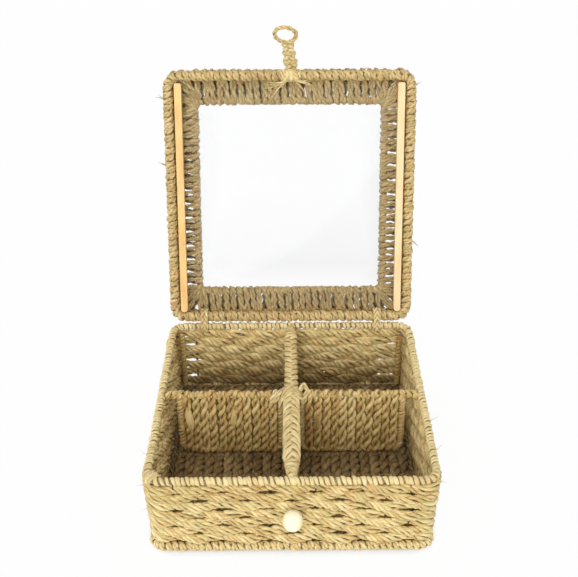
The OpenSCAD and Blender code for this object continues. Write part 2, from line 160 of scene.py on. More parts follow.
def arc(centre, radius, angles):
    """Points on a circle in a plane."""
    return np.asarray(centre, float) + radius * np.stack([np.cos(angles), np.sin(angles)], 1)


def length_along(path):
    return np.concatenate([[0.0], np.cumsum(np.linalg.norm(np.diff(path, axis=0), axis=1))])


def look_up(at, s, values, period=None):
    """The rows of values at these lengths along s."""
    return np.stack([np.interp(at, s, column, period=period) for column in values.T], 1)


def ahead_of(path, ring=False):
    """The path's own direction at each of its points."""
    return unit(np.roll(path, -1, 0) - np.roll(path, 1, 0) if ring else np.gradient(path, axis=0))


def square_to(path, direction, ring=False):
    """Two directions square to the path: the nearest to direction, and the one square to both."""
    ahead = ahead_of(path, ring)
    first = steady(direction, path)
    first = unit(first - (first * ahead).sum(1, keepdims=True) * ahead)
    return first, np.cross(ahead, first)


def wander(s, rng, wave):
    """Smooth random wander along s, mostly within -1 to 1, with about this wavelength."""
    total = np.zeros(len(s))
    for _ in range(3):
        total += np.sin(TAU * s / (wave * rng.uniform(0.6, 1.7)) + rng.uniform(0, TAU))
    return total / (1.25 * math.sqrt(3))


def loop_wander(at, total, rng, waves):
    """Smooth random wander that closes on itself after total."""
    value = np.zeros(len(at))
    for _ in range(4):
        number = max(1, int(round(waves * rng.uniform(0.5, 1.5))))
        value += np.sin(TAU * number * at / total + rng.uniform(0, TAU))
    return value / 2.5


def resample(path, step):
    """The same open line with points an even step apart."""
    s = length_along(path)
    count = max(4, int(round(s[-1] / step)) + 1)
    return look_up(np.linspace(0, s[-1], count), s, path)


def rounded(points, step=1.0, passes=3, closed=False):
    """A smooth line through given points: their corners are cut several times over."""
    path = np.asarray(points, float)
    for _ in range(passes):
        after = np.roll(path, -1, 0)
        near, far = 0.75 * path + 0.25 * after, 0.25 * path + 0.75 * after
        cut = np.stack([near, far], 1).reshape(-1, path.shape[1])
        path = cut if closed else np.concatenate([path[:1], cut[:-2], path[-1:]])
    if closed:
        path = np.concatenate([path, path[:1]])
    return resample(path, step)


def ring_path(half_x, half_y, bend, step=0.5):
    """A rounded rectangle about the origin, from the middle of its -Y side, counter-clockwise.
    Returns its points, outward directions and running length."""
    points, outward = [[(0.0, -half_y)]], [[(0.0, -1.0)]]
    for sx, sy, start in ((1, -1, -90), (1, 1, 0), (-1, 1, 90), (-1, -1, 180)):
        angles = np.radians(np.linspace(start, start + 90, 19))
        points.append(arc((sx * (half_x - bend), sy * (half_y - bend)), bend, angles))
        outward.append(arc((0, 0), 1, angles))
    points, outward = (np.concatenate(part + part[:1]) for part in (points, outward))
    s = length_along(points)
    even = np.arange(0, s[-1], step)
    return look_up(even, s, points), unit(look_up(even, s, outward)), even


# ---------------------------------------------------------------- places of the moving bodies

def turn_x(angle):
    c, s = math.cos(angle), math.sin(angle)
    return np.array([[1, 0, 0], [0, c, -s], [0, s, c]])


def turn_z(angle):
    c, s = math.cos(angle), math.sin(angle)
    return np.array([[c, -s, 0], [s, c, 0], [0, 0, 1]])


HOME = (np.eye(3), np.zeros(3))
LID = (turn_x(-OPEN), np.array(HINGE))
FOLD_LID = turn_x(OPEN) @ (np.array(FOLD) - HINGE)
LOOP_TURN = turn_z(-LOOP_LEAN) @ turn_x(LOOP_NOD)


def loop_point(points):
    """The loop's own coordinates, which reach from its fold to -Y, as closed-lid coordinates."""
    return np.asarray(points, float) @ LOOP_TURN.T + FOLD_LID


# ---------------------------------------------------------------- strands

def add(name, data):
    """A new object in the scene."""
    obj = bpy.data.objects.new(name, data)
    bpy.context.scene.collection.objects.link(obj)
    return obj


class Strands:
    """Closed tubes gathered into one piece's mesh."""

    def __init__(self, name, place=HOME):
        self.name = name
        self.place = place
        self.size = 0
        self.points, self.fibre, self.tone, self.proud, self.quads, self.tris = ([] for _ in range(6))

    def tube(self, path, across, width, height, tone, sides=10, lobes=((3, 0.07), (5, 0.05)), lobe_lay=14.0,
             phase=0.0, along=None, blunt=False, ring=False, outward=0.8):
        """One strand along path. across is the direction of its half width, and height is square to it.
        lobes are ridges, as pairs of how many and how deep, which spiral once in every lobe_lay.
        outward points away from what the strand lies against; the material paints shade on the side that faces
        what it lies against. As a number, it is how proud the whole strand lies, from 0 to 1, and the lower it
        is, the darker the painted shade."""
        path = np.asarray(path, float)
        count = len(path)
        a, b = square_to(path, across, ring)
        along = length_along(path) if along is None else along
        theta = np.arange(sides) * TAU / sides
        around = theta + (TAU * along / lobe_lay + phase)[:, None]
        swell = np.ones_like(around)
        for k, (number, depth) in enumerate(lobes):
            swell += depth * np.cos(number * around + phase * (k + 1))
        width, height = (np.array(np.broadcast_to(size, count), float) for size in (width, height))
        if not blunt and not ring:
            for k, share in enumerate((0.45, 0.8, 0.95)):
                if count > 2 * k + 2:
                    width[[k, -1 - k]] *= share
                    height[[k, -1 - k]] *= share
        side = (width[:, None] * swell * np.cos(theta))[..., None] * a[:, None, :]
        top = (height[:, None] * swell * np.sin(theta))[..., None] * b[:, None, :]
        points = (path[:, None, :] + side + top).reshape(-1, 3)
        # proud drives the painted shade: 1 where a point faces outward, 0 where it faces what the strand lies
        # against.
        if isinstance(outward, float):
            proud = np.full(count * sides, outward)
        else:
            rise = ((side + top) * steady(outward, path)[:, None, :]).sum(2)
            proud = (0.5 + 0.5 * rise / np.abs(rise).max(1, keepdims=True)).reshape(-1)
        fibre = np.stack(np.broadcast_arrays(along[:, None], np.cos(around), np.sin(around)), -1).reshape(-1, 3)

        i, j = np.meshgrid(np.arange(count if ring else count - 1), np.arange(sides), indexing="ij")
        i2, j2 = (i + 1) % count, (j + 1) % sides
        quads = np.stack([i * sides + j, i * sides + j2, i2 * sides + j2, i2 * sides + j], -1)
        self.quads.append(quads.reshape(-1, 4) + self.size)
        if not ring:
            tip, j, j2 = np.full(sides, count * sides), j[0], j2[0]
            base = (count - 1) * sides
            ends = [np.stack([tip, j2, j], 1), np.stack([tip + 1, base + j, base + j2], 1)]
            self.tris.append(np.concatenate(ends) + self.size)
            bulge = 0.0 if blunt else 0.25
            ahead = ahead_of(path)
            tips = [path[0] - ahead[0] * bulge * width[0], path[-1] + ahead[-1] * bulge * width[-1]]
            points = np.concatenate([points, tips])
            fibre = np.concatenate([fibre, [[along[0], 0, 0], [along[-1], 0, 0]]])
            # The tips count as lying fairly deep, so the painted shade darkens them a little.
            proud = np.concatenate([proud, [0.4, 0.4]])
        self.points.append(points)
        self.fibre.append(fibre)
        self.proud.append(proud)
        self.tone.append(np.full(len(points), float(tone)))
        self.size += len(points)

    def build(self, body, slot, material, replaces=()):
        """Makes the mesh object and seats it in the frame."""
        turn, move = self.place
        points = (np.concatenate(self.points) @ turn.T + move) * MM
        quads = np.concatenate(self.quads)
        tris = np.concatenate(self.tris) if self.tris else np.zeros((0, 3), int)
        starts = np.concatenate([np.arange(len(quads)) * 4, quads.size + np.arange(len(tris)) * 3])
        mesh = bpy.data.meshes.new(self.name)
        mesh.vertices.add(len(points))
        mesh.vertices.foreach_set("co", points.astype(np.float32).ravel())
        mesh.loops.add(quads.size + tris.size)
        mesh.loops.foreach_set("vertex_index", np.concatenate([quads.ravel(), tris.ravel()]).astype(np.int32))
        mesh.polygons.add(len(quads) + len(tris))
        mesh.polygons.foreach_set("loop_start", starts.astype(np.int32))
        mesh.update(calc_edges=True)
        mesh.shade_smooth()
        mesh.materials.append(material)
        for name, kind, key, values in (("fibre", "FLOAT_VECTOR", "vector", self.fibre),
                                        ("tone", "FLOAT", "value", self.tone),
                                        ("proud", "FLOAT", "value", self.proud)):
            made = mesh.attributes.new(name, kind, "POINT")
            made.data.foreach_set(key, np.concatenate(values).astype(np.float32).ravel())
        obj = add(self.name, mesh)
        if isinstance(body, str):
            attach(obj, body)
        if replaces:
            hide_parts(*replaces)
        return obj


def plies(piece, path, side, top, rng, number, lay, spread, radii, hand=1, wobble=0.35, sides=9, uneven=0.10,
          ring=False, ridges=((3, 0.08), (5, 0.05)), outward=0.0):
    """Strands twisted round each other along path. side and top are directions square to it.
    spread and radii are pairs, along side and top: how far the strands stand off, and how thick they are."""
    s = length_along(path)
    start = rng.uniform(0, TAU)
    if ring:
        total = s[-1] + np.linalg.norm(path[0] - path[-1])
        turns = max(1, round(total / lay))
        twist = hand * TAU * turns * s / total + start + wobble * loop_wander(s, total, rng, turns)
    else:
        twist = hand * TAU * s / lay + start + wobble * wander(s, rng, 2.2 * lay)
    for k in range(number):
        f = twist + TAU * k / number
        centre = path + side * (spread[0] * np.sin(f))[:, None] + top * (spread[1] * np.cos(f))[:, None]
        own = 1.0 if ring else 1 + uneven * wander(s, rng, 0.8 * lay)
        piece.tube(centre, side, radii[0] * own, radii[1] * own, rng.uniform(), sides=sides, lobes=ridges,
                   lobe_lay=-hand * rng.uniform(11, 17), phase=rng.uniform(0, TAU), ring=ring,
                   outward=unit(unit(centre - path) + outward))


def cord(piece, path, side, rng, number, lay, spread, radii, **more):
    """A twisted cord along an open path. side is the direction of its width."""
    plies(piece, path, *square_to(path, side), rng, number, lay, spread, radii, **more)


def ring_cord(piece, path, rng, lay, spread, radii, **more):
    """A two-ply cord along a closed path that lies square to X, or nearly so."""
    across = steady(X, path)
    up = np.cross(ahead_of(path, True), across)
    plies(piece, path, across, up, rng, 2, lay, spread, radii, ring=True, **more)


def wind(piece, line, first, second, rng, radius, pitch, half_w, half_t, starts=1, step=1.15, sides=8,
         begin=0.0, end=None, loosen=0.5, hand=1, lobes=((3, 0.10), (4, 0.08)), radius_2=None, number=1,
         lay=9.0, lumps=0.12):
    """Strands, or twisted cords of number plies, wound round a line.
    first and second are the directions square to it, for all of it or at each of its points."""
    s = length_along(line)
    end = s[-1] if end is None else end
    count = max(8, int((end - begin) / pitch * math.hypot(TAU * radius, pitch) / step))
    at = np.linspace(begin, end, count)
    centre = look_up(at, s, line)
    directions = (steady(first, line), steady(second, line), ahead_of(line))
    a, b, t = (unit(look_up(at, s, values)) for values in directions)
    base = TAU * at / pitch + loosen * wander(at, rng, 9 * pitch) + 0.5 * loosen * wander(at, rng, 2.5 * pitch)
    for k in range(starts):
        turn = hand * (base + TAU * k / starts)
        reach = radius + lumps * half_t * wander(at, rng, pitch * 1.7)
        reach_2 = reach if radius_2 is None else reach + radius_2 - radius
        out = a * np.cos(turn)[:, None] + b * np.sin(turn)[:, None]
        path = centre + a * (reach * np.cos(turn))[:, None] + b * (reach_2 * np.sin(turn))[:, None]
        if number > 1:
            plies(piece, path, t, out, rng, number, lay * rng.uniform(0.9, 1.1), (0.48 * half_w, 0.34 * half_t),
                  (0.56 * half_w, 0.72 * half_t), sides=sides, wobble=0.9, uneven=0.14, ridges=lobes,
                  outward=out)
        else:
            thick = half_t * (1 + 0.16 * wander(at, rng, pitch * 1.3))
            wide = half_w * (1 + 0.16 * wander(at, rng, pitch * 2.1))
            piece.tube(path, t, wide, thick, rng.uniform(), sides=sides, lobes=lobes,
                       lobe_lay=rng.uniform(16, 26), phase=rng.uniform(0, TAU), outward=out)


def rope_ring(piece, half_x, half_y, bend, middle_y, z, rng, core, runs=((0.0, None),), overlap=8, **winding):
    """A rope round a rounded rectangle: a core, painted dark as shade between the turns, and the turns round it
    in one or more runs. The turns overlap by this many points at the seam."""
    flat, out, _ = ring_path(half_x, half_y, bend)
    line = raised(flat + (0.0, middle_y), z)
    # The core counts as lying deep, so it is painted dark as shade.
    piece.tube(line[::3], Z, core, core, rng.uniform(), sides=8, lobes=(), ring=True, outward=0.15)
    again = np.r_[0:len(line), 0:overlap]
    for begin, end in runs:
        wind(piece, line[again], raised(out, 0.0)[again], Z, rng, begin=begin, end=end, **winding)


def fray(piece, root, heading, rng, count, length, spread=0.5, width=0.28):
    """A tuft of loose leaf ends."""
    heading = unit(np.asarray(heading, float))
    t = np.linspace(0, 1, 9)[:, None]
    for _ in range(count):
        aim = unit(heading + spread * rng.normal(size=3))
        bend = unit(np.cross(aim, rng.normal(size=3)))
        reach = length * rng.uniform(0.6, 1.2)
        path = root + 0.35 * rng.normal(size=3) + aim * reach * t + bend * 0.25 * reach * t * t
        slim = width * (1.05 - 0.85 * t[:, 0])
        piece.tube(path, bend, slim * 1.6, slim * 0.7, rng.uniform(), sides=6, lobes=(), lobe_lay=40)


def swell_back(piece, y, z, share):
    """Thickens the back run of a rope about its centre line, apart from where the hinge ties go round it."""
    for points in piece.points:
        off = np.abs(points[:, 0])
        grown = share * np.clip((84 - off) / 4, 0, 1) * np.clip((np.abs(off - TIE_X) - 3.6) / 2, 0, 1)
        grown = grown * (np.abs(points[:, 1] - y) < 6)
        points[:, 1] += grown * (points[:, 1] - y)
        points[:, 2] += grown * (points[:, 2] - z)


def press(piece, limit, side, give=0.6, beyond=0.0):
    """Presses strands to one side of a height, as where the lid rests on the rim: side 1 keeps them below the
    limit, and -1 above it. It starts give before the limit, and leaves what is nearer than beyond along X."""
    for points in piece.points:
        over = np.clip(side * (points[:, 2] - limit) + give, 0, None) * (np.abs(points[:, 0]) >= beyond)
        points[:, 2] -= side * (over - give * (1 - np.exp(-over / give)))


# ---------------------------------------------------------------- materials

def linear(colour):
    """An 8-bit sRGB colour as the linear values that a shader takes."""
    return tuple(c / 255 / 12.92 if c <= 10 else ((c / 255 + 0.055) / 1.055) ** 2.4 for c in colour) + (1.0,)


def grey(level):
    return (level, level, level, 1)


class Nodes:
    """A short way to write the nodes of a material or of the world."""

    def __init__(self, owner):
        owner.use_nodes = True
        self.owner = owner
        self.nodes = owner.node_tree.nodes
        self.links = owner.node_tree.links

    def set(self, node, key, value):
        """Sets or links an input: i and its number, or its name with _ for each space."""
        key = int(key[1:]) if key[0] == "i" and key[1:].isdigit() else key.replace("_", " ")
        if isinstance(value, bpy.types.NodeSocket):
            self.links.new(value, node.inputs[key])
        else:
            node.inputs[key].default_value = value

    def node(self, kind, **inputs):
        made = self.nodes.new(kind)
        for key, value in inputs.items():
            self.set(made, key, value)
        return made

    def math(self, operation, a, b=0.0, clamp=False):
        made = self.node("ShaderNodeMath", i0=a, i1=b)
        made.operation = operation
        made.use_clamp = clamp
        return made.outputs[0]

    def times(self, a, b):
        return self.math("MULTIPLY", a, b)

    def line(self, value, slope, start):
        return self.math("ADD", self.times(value, slope), start)

    def noise(self, vector, scale, detail, rough=0.5):
        made = self.node("ShaderNodeTexNoise", Vector=vector, Scale=scale, Detail=detail, Roughness=rough)
        return made.outputs["Fac"]

    def vector(self, operation, a, b):
        made = self.node("ShaderNodeVectorMath", i0=a, i1=b)
        made.operation = operation
        return made.outputs[0]

    def where(self):
        return self.node("ShaderNodeTexCoord").outputs["Object"]

    def mix(self, share, a, b, blend="MIX"):
        made = self.node("ShaderNodeMix", i0=share, i6=a, i7=b)
        made.data_type = "RGBA"
        made.blend_type = blend
        return made.outputs[2]

    def ramp(self, share, *stops):
        made = self.node("ShaderNodeValToRGB", Fac=share)
        band = made.color_ramp
        while len(band.elements) < len(stops):
            band.elements.new(0.5)
        for element, (place, colour) in zip(band.elements, stops):
            element.position = place
            element.color = colour
        return made.outputs["Color"]

    def attribute(self, name, output="Fac"):
        made = self.node("ShaderNodeAttribute")
        made.attribute_name = name
        return made.outputs[output]

    def bump(self, height, distance, strength):
        made = self.node("ShaderNodeBump", Height=height, Distance=distance, Strength=strength)
        return made.outputs["Normal"]

    def seen_by_eye(self):
        """1 where the camera, a reflection or a clear pane looks, else 0."""
        path = self.node("ShaderNodeLightPath").outputs
        first = self.math("MAXIMUM", path["Is Camera Ray"], path["Is Glossy Ray"])
        return self.math("MAXIMUM", first, path["Is Transmission Ray"])

    def dress(self, **looks):
        """Sets the surface's inputs, and returns the finished material."""
        for key, value in looks.items():
            self.set(self.nodes["Principled BSDF"], key, value)
        return self.owner


def seagrass(name, colours, green_share=0.45, brown_share=0.35, crevice_shade=0.30):
    """Dry twisted leaf: streaks that run along each strand, patches of green and brown, and painted shade in the
    hollows where strands lie deep.
    colours are its light, middle, dark, green and brown tints. The last argument is how dark the painted shade
    gets where a strand lies deepest."""
    light, mid, dark, green, brown = (linear(colour) for colour in colours)
    m = Nodes(bpy.data.materials.new(name))
    fibre = m.attribute("fibre", "Vector")
    tone = m.attribute("tone")
    apart = m.times(tone, 91.0)

    def streaks(stretch, *noise):
        return m.noise(m.vector("ADD", m.vector("MULTIPLY", fibre, stretch), apart), *noise)

    leaf = streaks((0.05, 1.0, 1.0), 1.3, 2.0)
    fine = streaks((0.10, 2.4, 2.4), 2.2, 3.0, 0.6)
    drift = streaks((0.028, 0.3, 0.3), 1.0, 1.0)
    patch = m.noise(m.vector("ADD", m.where(), apart), 24.0, 2.0)
    level = m.line(leaf, 0.85, m.times(fine, 0.80))
    level = m.math("ADD", level, m.times(m.math("SUBTRACT", tone, 0.5), 0.26))
    level = m.math("SUBTRACT", level, 0.32, clamp=True)
    colour = m.ramp(level, (0.16, dark), (0.40, mid), (0.64, light))
    colour = m.mix(m.ramp(drift, (0.50, grey(0)), (0.62, grey(green_share))), colour, green)
    colour = m.mix(m.ramp(patch, (0.56, grey(0)), (0.70, grey(brown_share))), colour, brown)
    # Painted shade: the colour darkens where the proud attribute is low, between plies and against other strands.
    shade = m.ramp(m.attribute("proud"), (0.05, (crevice_shade, crevice_shade * 0.82, crevice_shade * 0.66, 1)),
                   (0.36, (0.70, 0.64, 0.56, 1)), (0.68, grey(1)))
    relief = m.line(fine, 0.8, m.times(leaf, 0.6))
    return m.dress(Base_Color=m.mix(1.0, colour, shade, "MULTIPLY"), Roughness=m.line(fine, 0.30, 0.40),
                   Specular_IOR_Level=0.40, Normal=m.bump(relief, 0.0006, 1.0))


def wood(name, light, dark):
    """Sanded softwood with long upright grain lines."""
    m = Nodes(bpy.data.materials.new(name))
    where = m.where()
    lines = m.noise(m.vector("MULTIPLY", where, (700.0, 700.0, 22.0)), 1.0, 4.0, 0.65)
    bands = m.noise(m.vector("MULTIPLY", where, (170.0, 170.0, 9.0)), 1.0, 2.0)
    level = m.line(lines, 0.45, m.times(bands, 0.6))
    return m.dress(Base_Color=m.ramp(level, (0.34, linear(dark)), (0.60, linear(light))),
                   Roughness=m.line(lines, 0.25, 0.35), Specular_IOR_Level=0.4,
                   Normal=m.bump(lines, 0.0002, 0.6))


def drawn_wire(name):
    m = Nodes(bpy.data.materials.new(name))
    spots = m.noise(m.where(), 420.0, 3.0)
    return m.dress(Base_Color=m.ramp(spots, (0.3, linear((120, 112, 98))), (0.7, linear((176, 170, 158)))),
                   Roughness=m.line(spots, 0.3, 0.3), Metallic=0.85, Normal=m.bump(spots, 0.0001, 0.5))


def clear_sheet(name):
    """A thin clear pane: nearly see-through face on, less so at a slant, with faint painted shade low and at its
    sides.
    """
    m = Nodes(bpy.data.materials.new(name))
    where = m.where()
    smears = m.noise(m.vector("MULTIPLY", where, (9.0, 9.0, 5.0)), 1.0, 2.0)
    facing = m.node("ShaderNodeLayerWeight", Blend=0.25).outputs["Facing"]
    place = m.node("ShaderNodeSeparateXYZ", Vector=where).outputs
    off = m.times(m.math("ABSOLUTE", place[0]), 10.0)
    # Painted shade: greyer bands near the pane's sides and low on it, inside the window.
    side_shade = m.ramp(off, (0.52, grey(0)), (0.69, grey(0.10)), (0.72, grey(0)))
    across = m.ramp(off, (0.69, grey(1)), (0.72, grey(0)))
    low = m.ramp(m.times(place[2], 5.0), (0.46, grey(0)), (0.52, grey(0.07)), (0.80, grey(0)))
    inside = m.ramp(m.times(place[2], 4.0), (0.352, grey(0)), (0.38, grey(1)), (0.872, grey(1)),
                    (0.896, grey(0)))
    painted_shade = m.times(m.math("MAXIMUM", side_shade, low), m.times(inside, across))
    alpha = m.math("ADD", m.line(facing, 0.10, m.times(smears, 0.04)), painted_shade)
    return m.dress(Base_Color=linear((176, 184, 180)), Alpha=alpha, Roughness=0.04, Specular_IOR_Level=0.6)


WEAVE = seagrass("seagrass_weave", ((252, 234, 176), (230, 200, 134), (160, 118, 62), (200, 192, 124),
                                    (198, 144, 90)))
WRAP = seagrass("seagrass_wrap", ((252, 232, 176), (230, 200, 136), (160, 118, 64), (200, 190, 122),
                                  (200, 150, 96)), 0.35, 0.28, 0.2)
# A darker copy of the wrap: painted shade for the lid's ropes.
LID_SHADE = seagrass("seagrass_lid_shaded", ((230, 203, 145), (200, 168, 107), (128, 92, 49), (170, 160, 98),
                                     (176, 126, 77)), 0.40, 0.34, 0.18)
# A darker copy of the wrap, painted shade for the lid's recessed frame, with more green and brown patches.
FRAME = seagrass("seagrass_frame_shaded", ((214, 188, 132), (180, 150, 96), (110, 80, 44), (146, 138, 82),
                                    (150, 102, 60)), 0.50, 0.50, 0.16)
# A darker, warmer copy of the weave: painted shade for the parts inside the box, the dividers and the corner
# posts' strands.
INSIDE_SHADE = seagrass("seagrass_inside_shaded", ((238, 212, 148), (206, 170, 102), (130, 92, 46), (172, 160, 92),
                                        (182, 128, 72)), 0.42, 0.38, 0.16)
# A much darker copy of the weave: painted shade for the floor, its wires' strands and the wall stakes.
DEEP_SHADE = seagrass("seagrass_deep_shade", ((182, 154, 104), (136, 108, 66), (82, 60, 34), (116, 108, 68),
                                   (114, 78, 48)), crevice_shade=0.18)
WARM_PINE = wood("pine_strip", (238, 198, 128), (224, 172, 100))
PALE_PINE = wood("pine_bead", (255, 248, 216), (250, 230, 178))
FAINT_PINE = wood("pine_strip_pale", (242, 214, 166), (230, 196, 140))
STEEL = drawn_wire("steel_wire")
PANE = clear_sheet("clear_pane")


# ---------------------------------------------------------------- box: walls, floor and rims

def flare(line, z):
    """How far the walls lean out of their line: most at the top, and more at the corners than between."""
    rise = np.clip((z - WALL_LOW) / (WALL_HIGH - WALL_LOW), 0, 1)
    away = CORNER - np.minimum(np.abs(line[:, 0]), np.abs(line[:, 1]))
    return (0.6 + 3.0 * rise) * (0.28 + 0.72 * np.exp(-(np.clip(away, 0, None) / 22) ** 2))


WALLS = ("front_wall_weave", "right_wall_weave", "back_wall_weave", "left_wall_weave")
WALL_SWING = 1.9
PLIES = 4
LAYS = 36
# How far a ply stands off its cord's middle, and its half thickness, each outwards and upwards.
PLY_OFF = (1.2, 2.25)
PLY_HALF = (1.4, 1.27)
# Where the back wall's rows stand apart: place along X, half width, and how much.
BACK_HOLES = ((-81.0, 7.0, 1.0), (82.0, 4.0, 0.6), (71.0, 4.0, 0.5))


def walls():
    """Rows of four-ply cord that go round all four walls, cut into the four walls' pieces."""
    flat, out, s = ring_path(WALL_LINE, WALL_LINE, WALL_LINE - CORNER)
    side = 2 * CORNER
    bend = (WALL_LINE - CORNER) * math.pi / 2
    total = 4 * (side + bend)
    lap = (s + CORNER) % total
    wall = np.floor(lap / (side + bend))
    run = lap - wall * (side + bend)
    inward = np.where(run < side, np.sin(math.pi * STAKES * run / side), 0.0) * np.where(wall % 2 == 0, 1, -1)

    count = int(total / 1.15)
    at = np.arange(count + 1) * total / count
    near = (at - CORNER) % total
    line = look_up(near, s, flat, total)
    normal = unit(look_up(near, s, out, total))
    swing = np.interp(near, s, inward, period=total)
    outward = raised(normal, 0.0)
    back = np.clip((line[:, 1] - 88) / 1.5, 0, 1)
    side_wall = np.clip((np.abs(line[:, 0]) - 88) / 1.5, 0, 1)
    ends = sum(share * np.exp(-((line[:, 0] - x) / wide) ** 2) for x, wide, share in BACK_HOLES)
    fullness = 1 + back * (0.24 - 0.40 * ends) + 0.13 * side_wall
    calm = 1 - back * 0.5 * (1 - ends) - 0.25 * side_wall

    pieces = []
    for index, name in enumerate(WALLS):
        start = index * (side + bend)
        corner = bend if index % 2 == 0 else 0      # the front and back rows take the corners
        low, high = (int(round(end / total * count)) for end in (start - corner, start + side + corner))
        pieces.append((Strands(name + "_cords"), np.arange(low, high + 1)))
    rng = np.random.default_rng(11)
    for row in range(WALL_ROWS):
        z = WALL_LOW + (row + 0.5) * ROW_PITCH - 0.1
        height = z + 0.5 * loop_wander(at, total, rng, 9)
        depth = -(-1) ** row * WALL_SWING * calm * swing + 0.25 * loop_wander(at, total, rng, 40)
        centre = raised(line + normal * (depth + flare(line, z))[:, None], height)
        twist = -TAU * LAYS * at / total + rng.uniform(0, TAU) + 0.8 * loop_wander(at, total, rng, 22)
        bulge = fullness * (1 + 0.10 * np.abs(swing) ** 1.5 + 0.05 * loop_wander(at, total, rng, 33))
        for ply in range(PLIES):
            f = twist + ply * TAU / PLIES
            path = centre + outward * (PLY_OFF[0] * np.cos(f))[:, None]
            path[:, 2] += PLY_OFF[1] * bulge * np.sin(f)
            swell = 1 + 0.15 * loop_wander(at, total, rng, 60) + 0.10 * loop_wander(at, total, rng, 150)
            tone, phase = rng.uniform(), rng.uniform(0, TAU)
            lay = total / round(total / rng.uniform(12, 16))
            for piece, pick in pieces:
                k = pick % count
                piece.tube(path[k], outward[k], (PLY_HALF[0] * swell)[k], (PLY_HALF[1] * bulge * swell)[k],
                           tone, lobes=((2, 0.09), (5, 0.08)), lobe_lay=lay, phase=phase,
                           along=pick * total / count, blunt=True, outward=unit(path - centre)[k])
    for name, (piece, _) in zip(WALLS, pieces):
        shade_inside(piece)
        piece.build("box", "seagrass_weave", WEAVE, (name,))


def shade_inside(piece):
    """Paints shade on the walls' inner faces near the floor, where little light comes, by lowering what counts as
    proud there.
    """
    for points, proud in zip(piece.points, piece.proud):
        across = np.abs(points[:, :2]).max(1)
        inside = np.clip((WALL_LINE + 0.5 - across) / 2.0, 0, 1)
        deep = np.clip((38 - points[:, 2]) / 26, 0, 1)
        proud *= 1 - 0.85 * inside * deep


def stakes():
    """The stakes that the rows pass, and the strands wound round the four corner posts."""
    piece = Strands("wall_stake_cords")
    rng = np.random.default_rng(12)
    z = np.linspace(WALL_LOW - 0.5, WALL_HIGH + 0.5, 26)
    for wall in range(4):
        turn = turn_z(wall * math.pi / 2)
        for k in range(STAKES):
            path = trace(2 * CORNER * ((k + 0.5) / STAKES - 0.5), -WALL_LINE, z)
            path[:, 1] -= flare(path, z) - (0.8 if wall == 0 else 0.0)
            # The stakes count as lying deep in the weave and are painted dark as shade, so they hide among the
            # rows.
            piece.tube(path @ turn.T, turn[:, 0], 0.8, 0.8, rng.uniform(), sides=8, lobe_lay=9,
                       phase=rng.uniform(0, TAU), outward=0.2)
    piece.build("box", "seagrass_weave", DEEP_SHADE, ("wall_stakes",))

    wound = Strands("corner_post_strands")
    reach = span("corner_posts", 0)[1] - 1.5
    z = np.arange(WALL_LOW - 0.5, WALL_HIGH + 0.8, 0.5)
    for sx, sy in ((-1, -1), (-1, 1), (1, -1), (1, 1)):
        wind(wound, trace(sx * reach, sy * reach, z), X, Y, rng, radius=1.7, pitch=3.4, half_w=1.6, half_t=0.55)
    wound.build("box", "seagrass_weave", INSIDE_SHADE)


def floor():
    """The floor's cords, the cord round their edge, and the strands wound round the floor's wires."""
    piece = Strands("floor_cords")
    rng = np.random.default_rng(13)
    pitch = 2 * (FLOOR_HALF_X + 0.15) / FLOOR_ROWS
    y = np.linspace(-FLOOR_HALF_Y, FLOOR_HALF_Y, 150)
    swing = 1.3 * np.sin(math.pi * FLOOR_WIRES * (y / (2 * FLOOR_HALF_Y) + 0.5))
    for row in range(FLOOR_ROWS):
        x = (row + 0.5 - FLOOR_ROWS / 2) * pitch + 0.3 * wander(y, rng, 60)
        path = resample(trace(x, y, FLOOR_Z + (-1) ** row * swing), 1.4)
        cord(piece, path, X, rng, 2, rng.uniform(15, 18), (1.6, 1.1), (2.45, 1.6), hand=-1, wobble=0.6,
             uneven=0.12)
    edge = raised(ring_path(86.7, 86.7, 5.0)[0], 4.3)
    edge = resample(np.concatenate([edge, edge[:1]]), 1.3)
    cord(piece, edge, Z, rng, 2, 13, (0.9, 0.9), (1.15, 1.15))
    # Painted shade: the floor's cords take the dark copy of the weave.
    piece.build("box", "seagrass_weave", DEEP_SHADE, ("floor_weave",))

    wound = Strands("floor_wire_strands")
    reach = span("floor_wires", 0)[1] - 2.0
    x = np.arange(-reach, reach, 0.6)
    for k in range(FLOOR_WIRES):
        y = 2 * FLOOR_HALF_Y * ((k + 0.5) / FLOOR_WIRES - 0.5)
        wind(wound, trace(x, y, FLOOR_Z), Y, Z, rng, radius=1.35, pitch=3.4, half_w=1.8, half_t=0.5, sides=7,
             step=1.3)
    # Painted shade: the strands round the floor's wires take the dark copy of the weave.
    wound.build("box", "seagrass_weave", DEEP_SHADE)


# Loose leaf ends that stand off the box: where they start, where they point, and how long they are.
STRAY_ENDS = (
    ((-93, -60, 52), (-1, -0.3, 0.3), 8), ((-94, -76, 44), (-1, -0.5, 0.1), 8),
    ((-93, -78, 26), (-1, -0.3, 0.3), 7), ((-93, 20, 56), (-1, 0, 0.3), 8), ((93, -30, 57), (1, 0, 0.5), 8),
    ((94, -58, 54), (1, 0.2, 0.4), 9), ((94, -76, 46), (1, -0.2, -0.1), 7), ((93, 70, 56), (1, 0.1, 0.4), 7),
    ((60, 92, 30), (0.2, 1, 0.3), 8),
)


